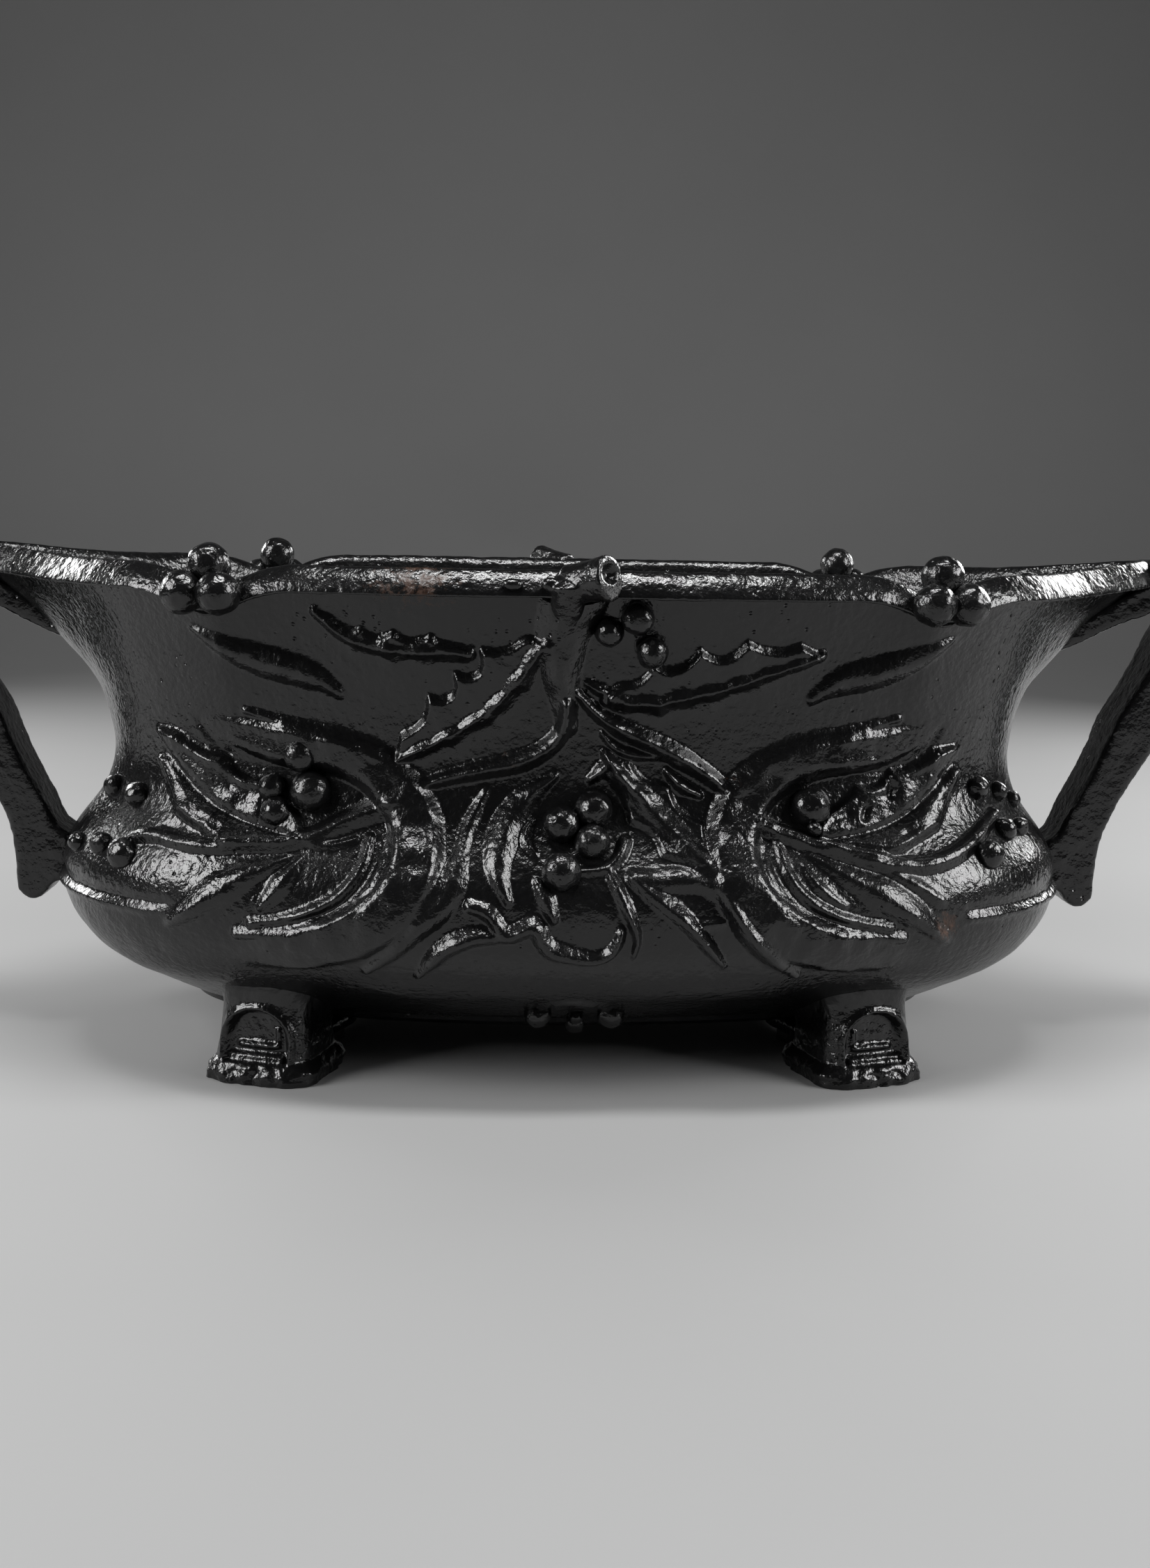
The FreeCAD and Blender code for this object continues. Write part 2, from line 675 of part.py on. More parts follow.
def right_end_panel():
    """End panel from joint to joint, with the rim drawn out to a tip."""
    wall = Part.makeLoft([wall_section(s) for s in end_stations()], True)
    joints = [Joint(1, face) for face in (-1, 1)]
    wall = wall.fuse([lug for j in joints for lug in lugs(j, -1)])
    cuts = [hole for j in joints for hole in lug_holes(j)] + handle_holes()
    cuts += [berry for j in joints for berry in cluster(j, SEAT_GAP)]
    return wall.cut(cuts)


def oval(inset, height):
    """Oval wire drawn in from the neck line."""
    end_radius = NECK_END_RADIUS - inset
    side_radius = FRONT_RADIUS - inset
    sine, cosine = math.sin(SEAM_ANGLE), math.cos(SEAM_ANGLE)

    def corner(side, face):
        return Vector(side * (END_CENTRE + end_radius * sine), face * end_radius * cosine, height)

    right = Vector(END_CENTRE + end_radius, 0, height)
    left = Vector(-END_CENTRE - end_radius, 0, height)
    back = Vector(0, side_radius - FRONT_CENTRE, height)
    front = Vector(0, FRONT_CENTRE - side_radius, height)
    return Part.Wire(
        [
            Part.Arc(corner(1, -1), right, corner(1, 1)).toShape(),
            Part.Arc(corner(1, 1), back, corner(-1, 1)).toShape(),
            Part.Arc(corner(-1, 1), left, corner(-1, -1)).toShape(),
            Part.Arc(corner(-1, -1), front, corner(1, -1)).toShape(),
        ]
    )


CORNERS = [(side, face) for face in (-1, 1) for side in (-1, 1)]


def base_plate():
    """Oval plate on the panels' ledges, countersunk for the foot screws."""
    inset = PLATE_GAP - inner_flank(front_station(0.0))[0][0]
    plate = Part.Face(oval(inset, LEDGE_TOP)).extrude(UP * PLATE_THICKNESS)
    sink_depth = FOOT_HEAD_RADIUS - FOOT_SCREW_RADIUS
    cuts = []
    for side, face in CORNERS:
        cuts.append(foot_screw_hole(side, face))
        seat = foot_screw_point(side, face, PLATE_TOP - sink_depth)
        wide = FOOT_HEAD_RADIUS + HOLE_GAP
        cuts.append(Part.makeCone(wide - sink_depth, wide, sink_depth, seat))
    return plate.cut(cuts)


def rounded_rectangle(width, depth, corner, height):
    """Wire of a rectangle with round corners, about the Z axis."""
    x, y = width / 2, depth / 2
    slack = corner * (1 - math.sqrt(0.5))
    edges = []
    for turn in range(4):
        half, run = (x, y) if turn % 2 == 0 else (y, x)
        spin = FreeCAD.Rotation(UP, HALF_TURN / 2 * turn)
        places = [
            (half, corner - run),
            (half, run - corner),
            (half - slack, run - slack),
            (half - corner, run),
        ]
        start, end, middle, last = [spin.multVec(Vector(a, b, 0)) + UP * height for a, b in places]
        edges.append(Part.makeLine(start, end))
        edges.append(Part.Arc(end, middle, last).toShape())
    return Part.Wire(edges)


def foot_body():
    """Foot about its own axis: welt, tapered shaft and the arched recess on its outer face."""
    sole = rounded_rectangle(FOOT_SOLE_WIDTH, FOOT_SOLE_DEPTH, FOOT_CORNER, 0)
    welt = Part.Face(sole).extrude(UP * FOOT_WELT_HEIGHT)
    shaft_width = FOOT_SOLE_WIDTH - 2 * FOOT_WELT_STEP
    shaft_depth = FOOT_SOLE_DEPTH - 2 * FOOT_WELT_STEP
    shaft = Part.makeLoft(
        [
            rounded_rectangle(shaft_width, shaft_depth, FOOT_CORNER, FOOT_WELT_HEIGHT),
            rounded_rectangle(FOOT_ANKLE_WIDTH, FOOT_ANKLE_DEPTH, FOOT_CORNER, FOOT_HEIGHT),
        ],
        True,
        True,
    )
    arch_radius = FOOT_ARCH_WIDTH / 2
    front = -shaft_depth / 2
    spring = FOOT_WELT_HEIGHT + FOOT_ARCH_RISE
    box = Part.makeBox(FOOT_ARCH_WIDTH, FOOT_ARCH_DEPTH, FOOT_ARCH_RISE)
    box.translate(Vector(-arch_radius, front, FOOT_WELT_HEIGHT))
    crown = Part.makeCylinder(arch_radius, FOOT_ARCH_DEPTH, Vector(0, front, spring), ACROSS)
    return welt.fuse(shaft).cut(box.fuse(crown))


def front_right_foot():
    """Foot with its tongue under the ledge, cut to sit against the underside of the bowl."""
    centre = Vector(FOOT_X, -FOOT_Y, 0)
    body = foot_body()
    body.rotate(ORIGIN, UP, FOOT_TURN)
    body.translate(centre)
    end = foot_screw_point(1, -1, 0)
    way = (end - centre).normalize()
    side = UP.cross(way) * (FOOT_TONGUE_WIDTH / 2)
    low = UP * (BASE_HEIGHT - FOOT_TONGUE_THICKNESS)
    corners = [centre - side + low, end - side + low, end + side + low, centre + side + low]
    tongue = prism(corners, FOOT_TONGUE_THICKNESS)
    tip = Part.makeCylinder(FOOT_TONGUE_WIDTH / 2, FOOT_TONGUE_THICKNESS, end + low)
    seats = [underside_seat(front_stations()), underside_seat(end_stations())]
    return body.fuse([tongue, tip]).cut(seats + [foot_screw_hole(1, -1)]).removeSplitter()


def foot_fasteners():
    """Countersunk screws from inside the bowl, with nuts under the feet's tongues."""
    nut_top = BASE_HEIGHT - FOOT_TONGUE_THICKNESS
    sink_depth = FOOT_HEAD_RADIUS - FOOT_SCREW_RADIUS
    nut = hexagon_nut(FOOT_NUT_ACROSS, FOOT_NUT_HEIGHT, FOOT_SCREW_RADIUS + THREAD_GAP)
    shank_length = PLATE_TOP - nut_top + FOOT_NUT_HEIGHT
    screws, nuts = [], []
    for side, face in CORNERS:
        tip = foot_screw_point(side, face, PLATE_TOP - shank_length)
        shank = Part.makeCylinder(FOOT_SCREW_RADIUS, shank_length, tip)
        seat = foot_screw_point(side, face, PLATE_TOP - sink_depth)
        head = Part.makeCone(FOOT_SCREW_RADIUS, FOOT_HEAD_RADIUS, sink_depth, seat)
        slot_width = FOOT_HEAD_RADIUS * SLOT_SHARE
        slot = Part.makeBox(2 * FOOT_HEAD_RADIUS, slot_width, sink_depth)
        slot.translate(foot_screw_point(side, face, PLATE_TOP - sink_depth / 2))
        slot.translate(Vector(-FOOT_HEAD_RADIUS, -slot_width / 2, 0))
        screws.append(shank.fuse(head).cut(slot).removeSplitter())
        nuts.append(placed(nut, foot_screw_point(side, face, nut_top - FOOT_NUT_HEIGHT), UP))
    return screws, nuts


def handle_point(pair):
    """A point of the handle's side outline from its shares of reach and height."""
    height = RIM_HEIGHT + TIP_LIFT - HANDLE_FOOT_HEIGHT
    x = NECK_HALF_LENGTH + HANDLE_REACH * pair[0]
    z = HANDLE_FOOT_HEIGHT + height * pair[1]
    return Vector(x, -HANDLE_WIDTH / 2, z)


def curve_through(points):
    curve = Part.BSplineCurve()
    curve.interpolate(points)
    return curve.toShape()


def right_handle():
    """Flat strap from under the rim tip to a boss on the belly, seated against the end panel."""
    outer = [handle_point(p) for p in HANDLE_OUTER_SHARES]
    inner = [handle_point(p) for p in HANDLE_INNER_SHARES]
    boss = [handle_point(p) for p in HANDLE_BOSS_SHARES]
    root = [handle_point(p) for p in HANDLE_ROOT_SHARES]
    edges = [curve_through(outer), curve_through(inner)]
    for run in ([outer[-1]] + boss + [inner[0]], [inner[-1]] + root + [outer[0]]):
        edges += [Part.makeLine(a, b) for a, b in zip(run, run[1:])]
    outline = Part.Face(Part.Wire(Part.__sortEdges__(edges)))
    strap = outline.extrude(ACROSS * HANDLE_WIDTH)
    low = HANDLE_FOOT_HEIGHT - OVERRUN
    high = RIM_HEIGHT + TIP_LIFT + OVERRUN
    taper = [
        Vector(NECK_HALF_LENGTH, -HANDLE_FOOT_WIDTH / 2, low),
        Vector(NECK_HALF_LENGTH, HANDLE_FOOT_WIDTH / 2, low),
        Vector(NECK_HALF_LENGTH, HANDLE_WIDTH / 2, high),
        Vector(NECK_HALF_LENGTH, -HANDLE_WIDTH / 2, high),
    ]
    wedge = Part.Face(Part.makePolygon(taper + taper[:1])).extrude(ALONG * (HANDLE_REACH + OVERRUN))
    strap = strap.common(wedge)
    holes = [
        Part.makeCylinder(HANDLE_SCREW_RADIUS + THREAD_GAP, WALL + depth, s, way)
        for s, way, depth in handle_fixings()
    ]
    return strap.cut(end_seat() + holes)


def handle_screws():
    """Screws of the right handle, then of the left."""
    right = []
    for seat, way, depth in handle_fixings():
        length = WALL - SPOT_DEPTH + depth - SCREW_POINT
        one_screw = screw(HANDLE_SCREW_RADIUS, length, HANDLE_HEAD_RADIUS, HANDLE_HEAD_HEIGHT)
        right.append(placed(one_screw, seat, -way))
    return right + [half_turn(s) for s in right]


BAIL_HEIGHT = LINER_TOP_HEIGHT - BAIL_TOP_INSET
LINER_FLOOR = PLATE_TOP + LINER_GAP
LINER_LEAN = (LINER_FLOOR_INSET - LINER_TOP_INSET) / (LINER_TOP_HEIGHT - LINER_FLOOR)


def liner_inset(height):
    """How far the liner's outer face lies inside the neck line at a height."""
    return LINER_TOP_INSET + LINER_LEAN * (LINER_TOP_HEIGHT - height)


def liner_room():
    """The space inside the liner's sheet, up past its bead."""
    floor = LINER_FLOOR + LINER_SHEET
    top = LINER_TOP_HEIGHT + LINER_BEAD_RADIUS + OVERRUN
    return Part.makeLoft(
        [oval(liner_inset(h) + LINER_SHEET, h) for h in (floor, top)],
        True,
        True,
    )


def liner():
    """Sheet tray with sloping sides and a rolled bead round its top."""
    tray = Part.makeLoft([oval(liner_inset(h), h) for h in (LINER_FLOOR, LINER_TOP_HEIGHT)], True, True)
    path = oval(LINER_TOP_INSET + LINER_SHEET / 2, LINER_TOP_HEIGHT)
    start = path.Edges[0].valueAt(path.Edges[0].FirstParameter)
    way = path.Edges[0].tangentAt(path.Edges[0].FirstParameter)
    ring = Part.Wire(Part.makeCircle(LINER_BEAD_RADIUS, start, way))
    bead = path.makePipeShell([ring], True, False)
    return tray.cut(liner_room()).fuse(bead).removeSplitter()


def bail_standoff():
    """How far the bail's hinge lies from the liner's end, so that its corners clear the curved wall."""
    bend = NECK_END_RADIUS - liner_inset(BAIL_HEIGHT - BAIL_DROP) - LINER_SHEET
    sag = bend - math.sqrt(bend**2 - (BAIL_WIDTH / 2) ** 2)
    return sag + BAIL_WIRE_RADIUS + BAIL_CLEARANCE


def bail_pivot():
    """Centre of the right bail's hinge."""
    wall = NECK_HALF_LENGTH - liner_inset(BAIL_HEIGHT) - LINER_SHEET
    return Vector(wall - bail_standoff(), 0, BAIL_HEIGHT)


def right_staple():
    """Tube for the bail's rod, with the tab that solders it to the liner's end."""
    pivot = bail_pivot()
    base = pivot - ACROSS * (STAPLE_LENGTH / 2)
    tube = Part.makeCylinder(STAPLE_RADIUS, STAPLE_LENGTH, base, ACROSS)
    tab = Part.makeBox(2 * bail_standoff(), STAPLE_LENGTH, 2 * STAPLE_RADIUS)
    tab.translate(base - UP * STAPLE_RADIUS)
    bore = Part.makeCylinder(BAIL_WIRE_RADIUS + BAIL_GAP, STAPLE_LENGTH, base, ACROSS)
    return tube.fuse(tab).common(liner_room()).cut(bore).removeSplitter()


def right_bail():
    """Closed wire loop that hangs beside the liner's end wall."""
    path = rounded_rectangle(BAIL_WIDTH, BAIL_DROP, BAIL_CORNER, 0)
    first = path.Edges[0]
    start = first.valueAt(first.FirstParameter)
    way = first.tangentAt(first.FirstParameter)
    ring = Part.Wire(Part.makeCircle(BAIL_WIRE_RADIUS, start, way))
    loop = path.makePipeShell([ring], True, False)
    lean = math.degrees(math.atan(LINER_LEAN))
    loop.translate(Vector(0, -BAIL_DROP / 2, 0))
    loop.rotate(ORIGIN, ALONG, HALF_TURN / 2)
    loop.rotate(ORIGIN, UP, HALF_TURN / 2)
    loop.rotate(ORIGIN, ACROSS, lean)
    loop.translate(bail_pivot())
    return loop


def build():
    os.makedirs("parts", exist_ok=True)
    long_panel = front_panel()
    end_panel = right_end_panel()
    foot = front_right_foot()
    handle = right_handle()
    joints = [Joint(side, face) for side, face in CORNERS]
    seam_screws, seam_nuts = [], []
    for joint in joints:
        screws, nuts = seam_fasteners(joint)
        seam_screws += screws
        seam_nuts += nuts
    foot_screws, foot_nuts = foot_fasteners()
    staple = right_staple()
    bail = right_bail()
    left_foot = mirrored(foot, ALONG)
    pieces = {
        "front_panel": long_panel,
        "back_panel": half_turn(long_panel),
        "right_end_panel": end_panel,
        "left_end_panel": half_turn(end_panel),
        "base_plate": base_plate(),
        "front_right_foot": foot,
        "front_left_foot": left_foot,
        "back_left_foot": half_turn(foot),
        "back_right_foot": half_turn(left_foot),
        "right_handle": handle,
        "left_handle": half_turn(handle),
        "seam_screws": Part.makeCompound(seam_screws),
        "seam_nuts": Part.makeCompound(seam_nuts),
        "foot_screws": Part.makeCompound(foot_screws),
        "foot_nuts": Part.makeCompound(foot_nuts),
        "handle_screws": Part.makeCompound(handle_screws()),
        "liner": liner(),
        "liner_staples": Part.makeCompound([staple, half_turn(staple)]),
        "right_bail": bail,
        "left_bail": half_turn(bail),
    }
    for name, shape in pieces.items():
        shape.exportStep(os.path.join("parts", name + ".step"))
        print(name, "valid" if shape.isValid() else "NOT VALID", "solids:", len(shape.Solids))
    print("bail hinge at", [round(v, REPORT_PLACES) for v in bail_pivot()])


build()
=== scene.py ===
import math

import bmesh
import bpy
import numpy as np
from mathutils import Matrix, Vector, noise


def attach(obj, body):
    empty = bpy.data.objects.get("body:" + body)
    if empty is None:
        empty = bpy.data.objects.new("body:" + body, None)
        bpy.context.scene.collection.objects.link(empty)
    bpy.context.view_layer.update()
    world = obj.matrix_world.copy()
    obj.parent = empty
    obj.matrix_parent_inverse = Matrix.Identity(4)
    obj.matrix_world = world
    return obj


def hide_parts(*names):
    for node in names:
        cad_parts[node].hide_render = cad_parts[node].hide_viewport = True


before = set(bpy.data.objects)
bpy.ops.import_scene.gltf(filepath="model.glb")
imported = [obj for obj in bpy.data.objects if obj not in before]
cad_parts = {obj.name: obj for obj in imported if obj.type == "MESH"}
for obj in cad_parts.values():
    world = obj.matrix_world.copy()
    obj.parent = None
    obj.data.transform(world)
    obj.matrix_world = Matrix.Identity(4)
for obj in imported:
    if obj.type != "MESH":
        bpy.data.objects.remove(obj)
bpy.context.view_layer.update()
scene = bpy.context.scene

# Long panels
# Front and back walls of the bowl: one thin grey iron casting used twice, with holly raised on its face.
# Lugs inside its ends are bolted to the end walls, and the bowl is painted a glossy black all over.

MM = 0.001
UP = np.array([0.0, 0.0, 1.0])

neck_half_length, neck_half_depth, end_radius = 141.5, 72.0, 61.0
end_centre = neck_half_length - end_radius
side_rise = neck_half_depth - end_radius
front_centre = (end_centre**2 - side_rise**2) / (2 * side_rise)
front_radius = front_centre + neck_half_depth
joint_angle = math.atan2(end_centre, front_centre)
end_span = math.pi / 2 - joint_angle

base_height, base_inset = 13.5, 37.0
belly_height, belly_bulge = 58.0, 16.5
neck_height, rim_height = 97.5, 154.6
wall, ledge_top, ledge_reach = 5.0, 18.5, 14.0
underside_shares = [(0, 0), (0.36, 0.21), (0.56, 0.34), (0.76, 0.48), (0.93, 0.71), (0.985, 0.86)]
waist_shares = [(0, 0), (0.02, 0.12), (0.19, 0.31), (0.515, 0.5), (0.82, 0.69), (0.97, 0.875)]
flare_shares = [
    (0, 0), (0.03, 0.13), (0.11, 0.3), (0.24, 0.45), (0.38, 0.57), (0.55, 0.73), (0.77, 0.87), (1, 1),
]

front_edge, joint_edge, tip_edge = 15.0, 17.0, 49.0
tip_taper, tip_lift, lobe_bulge = math.radians(9.5), 4.0, 2.0
notch_depth, notch_half_width = 8.5, 24.0
lip_height, lip_overhang, lip_undercut, lip_slope = 8.0, 5.0, 1.0, 6.0
lip_crown, rim_crown = 0.9, 1.2


def smooth_through(points, places):
    """Natural cubic curve through points, read at places from 0 to 1 along its chords."""
    points = np.asarray(points, float)
    knots = np.r_[0.0, np.cumsum(np.linalg.norm(np.diff(points, axis=0), axis=1))]
    knots /= knots[-1]
    step = np.diff(knots)
    count = len(knots)
    system = np.eye(count)
    bend = np.zeros_like(points)
    for i in range(1, count - 1):
        system[i, i - 1 : i + 2] = step[i - 1], 2 * (step[i - 1] + step[i]), step[i]
        bend[i] = 6 * ((points[i + 1] - points[i]) / step[i] - (points[i] - points[i - 1]) / step[i - 1])
    bend = np.linalg.solve(system, bend)
    k = np.clip(np.searchsorted(knots, places, side="right") - 1, 0, count - 2)
    a = ((knots[k + 1] - places) / step[k])[:, None]
    b = 1 - a
    curl = ((a**3 - a) * bend[k] + (b**3 - b) * bend[k + 1]) * (step[k] ** 2)[:, None] / 6
    return a * points[k] + b * points[k + 1] + curl


def rim_dip(reach):
    """How far the rim sinks towards a joint, at a distance along it."""
    return notch_depth * max(0.0, 1 - math.hypot(reach, 2.5) / notch_half_width) ** 2


def long_rim(angle):
    """Edge offset and height of the rim on a long panel."""
    share = angle / joint_angle
    edge = front_edge + (joint_edge - front_edge) * share**2 + lobe_bulge * math.sin(math.pi * share) ** 2
    return edge, rim_height - rim_dip((joint_angle - abs(angle)) * front_radius)


def end_rim(angle):
    """Edge offset and height of the rim on an end panel, drawn out to its tip."""
    pull = math.exp(1 - math.sqrt(1 + (angle / tip_taper) ** 2))
    edge = joint_edge + (tip_edge - joint_edge) * pull
    return edge, rim_height - rim_dip((end_span - abs(angle)) * end_radius) + tip_lift * pull


under_rows = np.r_[np.linspace(0, 0.5, 18, endpoint=False), np.linspace(0.5, 1, 58, endpoint=False)]
waist_rows = np.linspace(0, 1, 92, endpoint=False)
flare_rows = np.linspace(0, 1, 104)


def face_line(edge, top):
    """Outer face from base to lip as rows of offset and height."""
    base, belly, neck = (-base_inset, base_height), (belly_bulge, belly_height), (0.0, neck_height)
    lip = (edge - lip_overhang, top - lip_height + lip_undercut)
    stretches = ((base, belly, underside_shares), (belly, neck, waist_shares), (neck, lip, flare_shares))
    knots = []
    for (x, z), (to_x, to_z), shares in stretches:
        knots += [(x + (to_x - x) * a, z + (to_z - z) * b) for a, b in shares]
    chords = np.r_[0.0, np.cumsum(np.linalg.norm(np.diff(knots, axis=0), axis=1))]
    chords /= chords[-1]
    low, high = chords[len(underside_shares)], chords[len(underside_shares) + len(waist_shares)]
    places = np.r_[low * under_rows, low + (high - low) * waist_rows, high + (1 - high) * flare_rows]
    return smooth_through(knots, places)


def bowed(a, b, bow, count):
    """Points from a up to b, without b, bowed to the right of the way."""
    a, b = np.asarray(a), np.asarray(b)
    share = np.linspace(0, 1, count, endpoint=False)[:, None]
    run = (b - a) / np.linalg.norm(b - a)
    return a + (b - a) * share + np.array([run[1], -run[0]]) * (4 * bow * share * (1 - share))


outer_rows = len(under_rows) + len(waist_rows) + len(flare_rows)
lip_end, crown_end, rim_end = outer_rows + 18, outer_rows + 22, outer_rows + 26
# The inner wall follows every fourteenth row of the outer face, and closer ones under the belly.
upper_picks = np.arange(outer_rows - 1, 70, -14)
inner_picks = np.r_[upper_picks, 62, 54, 47, 39, 31, 25, 19, 15, 12, 9]


def wall_loop(edge, top):
    """Closed outline of the casting: face, lip, crown, inner wall and ledge."""
    outer = face_line(edge, top)
    run = np.gradient(outer, axis=0)
    run /= np.linalg.norm(run, axis=1)[:, None]
    inner = (outer + wall * np.stack([-run[:, 1], run[:, 0]], axis=1))[inner_picks]
    lip, crown = (edge, top - lip_height), (edge - lip_slope, top)
    ledge = -base_inset - ledge_reach
    loop = np.vstack([
        outer,
        bowed(outer[-1], lip, 0, 6)[1:],
        bowed(lip, crown, lip_crown, 12),
        bowed(crown, inner[0], rim_crown, 7),
        inner,
        bowed((inner[-1][0] - 1, ledge_top), (ledge, ledge_top), 0, 4),
        bowed((ledge, ledge_top), (ledge, base_height), 0, 3),
        bowed((ledge, base_height), outer[0], 0, 4),
    ])
    rim = slice(outer_rows - 3, rim_end)
    for _ in range(2):
        loop[rim] = (np.roll(loop, 1, 0)[rim] + 2 * loop[rim] + np.roll(loop, -1, 0)[rim]) / 4
    return loop


def stood(loop, centre, radius, radial):
    """An outline of the wall stood up at one place round the oval: its points and outward directions."""
    run = np.roll(loop, -1, 0) - np.roll(loop, 1, 0)
    run /= np.linalg.norm(run, axis=1)[:, None]
    points = centre + (radius + loop[:, :1]) * radial + loop[:, 1:] * UP
    return points, run[:, 1:] * radial - run[:, :1] * UP


def long_wall(columns):
    """Stations across the front panel, from its left joint to its right one."""
    stations = []
    for angle in np.linspace(-joint_angle, joint_angle, columns):
        radial = np.array([math.sin(angle), -math.cos(angle), 0])
        stations.append(stood(wall_loop(*long_rim(angle)), (0, front_centre, 0), front_radius, radial))
    return np.array(stations)


def on_face(x, z):
    """The point of the outer face that lies at this width and height, seen from the front."""
    side, width = math.copysign(1, x), abs(x)
    angle = math.asin(min(1.0, width / front_radius))
    for _ in range(3):
        line = face_line(*long_rim(min(angle, joint_angle)))
        reach = front_radius + np.interp(z, line[:, 1], line[:, 0])
        angle = math.asin(min(1.0, width / reach))
    if angle <= joint_angle:
        return np.array([x, front_centre - reach * math.cos(angle), z])
    turn = end_span
    for _ in range(8):
        line = face_line(*end_rim(turn))
        reach = end_radius + np.interp(z, line[:, 1], line[:, 0])
        turn = 0.5 * turn + 0.5 * math.acos(min(1.0, (width - end_centre) / reach))
    return np.array([side * (end_centre + reach * math.cos(turn)), -reach * math.sin(turn), z])


def laid(path, step=1.5):
    """A path of width and height pairs, rounded and laid on the face."""
    length = np.linalg.norm(np.diff(path, axis=0), axis=1).sum()
    places = np.linspace(0, 1, max(6, int(length / step)))
    return np.array([on_face(x, z) for x, z in smooth_through(path, places)])


def both_sides(path):
    """A path and its mirror image on the other half of the face."""
    return path, [(-x, z) for x, z in path]


# Holly on the long face, as width and height pairs in millimetres. Stems, straps and ribs are ridges, the
# scrolls are flat bands, cords are stems with a furrow along them, and grooves sink between them.
# Each has a rise and half widths along it, and a band also the side on which its edge is steep.
scroll = [
    (105, 110), (96, 107), (86, 104.5), (75, 103), (64, 100.5), (54, 95.5), (46.5, 87), (44, 78), (45.5, 69),
    (51, 60.5), (60, 54), (72, 49.5), (88, 46.5), (100, 45),
]
strap = [(106, 136), (98, 131.5), (89, 128), (80, 125.5), (72, 123), (66, 119)]
inner_bead = [(57, 79), (58.5, 73), (62, 67), (67, 62.7), (73, 59.8), (81, 57.2), (90, 55.6)]
outer_bead = [(52, 79), (53, 72), (56, 66), (60.5, 61.2), (67, 57.5), (75, 55), (84, 53.2), (94, 52.2)]
scroll_groove = [
    (107, 110), (101, 102.5), (93, 98.5), (83, 96.5), (72, 96), (63, 93), (57, 87.5), (53.5, 81), (52.5, 75),
]
scroll_halves = (1.5, 4.5, 6.5, 6.8, 7, 7.5, 7.5, 7.5, 7.5, 7, 6.5, 6, 5, 3)
bands = [(3.8, scroll_halves, steep_side, path) for steep_side, path in zip((1, -1), both_sides(scroll))]
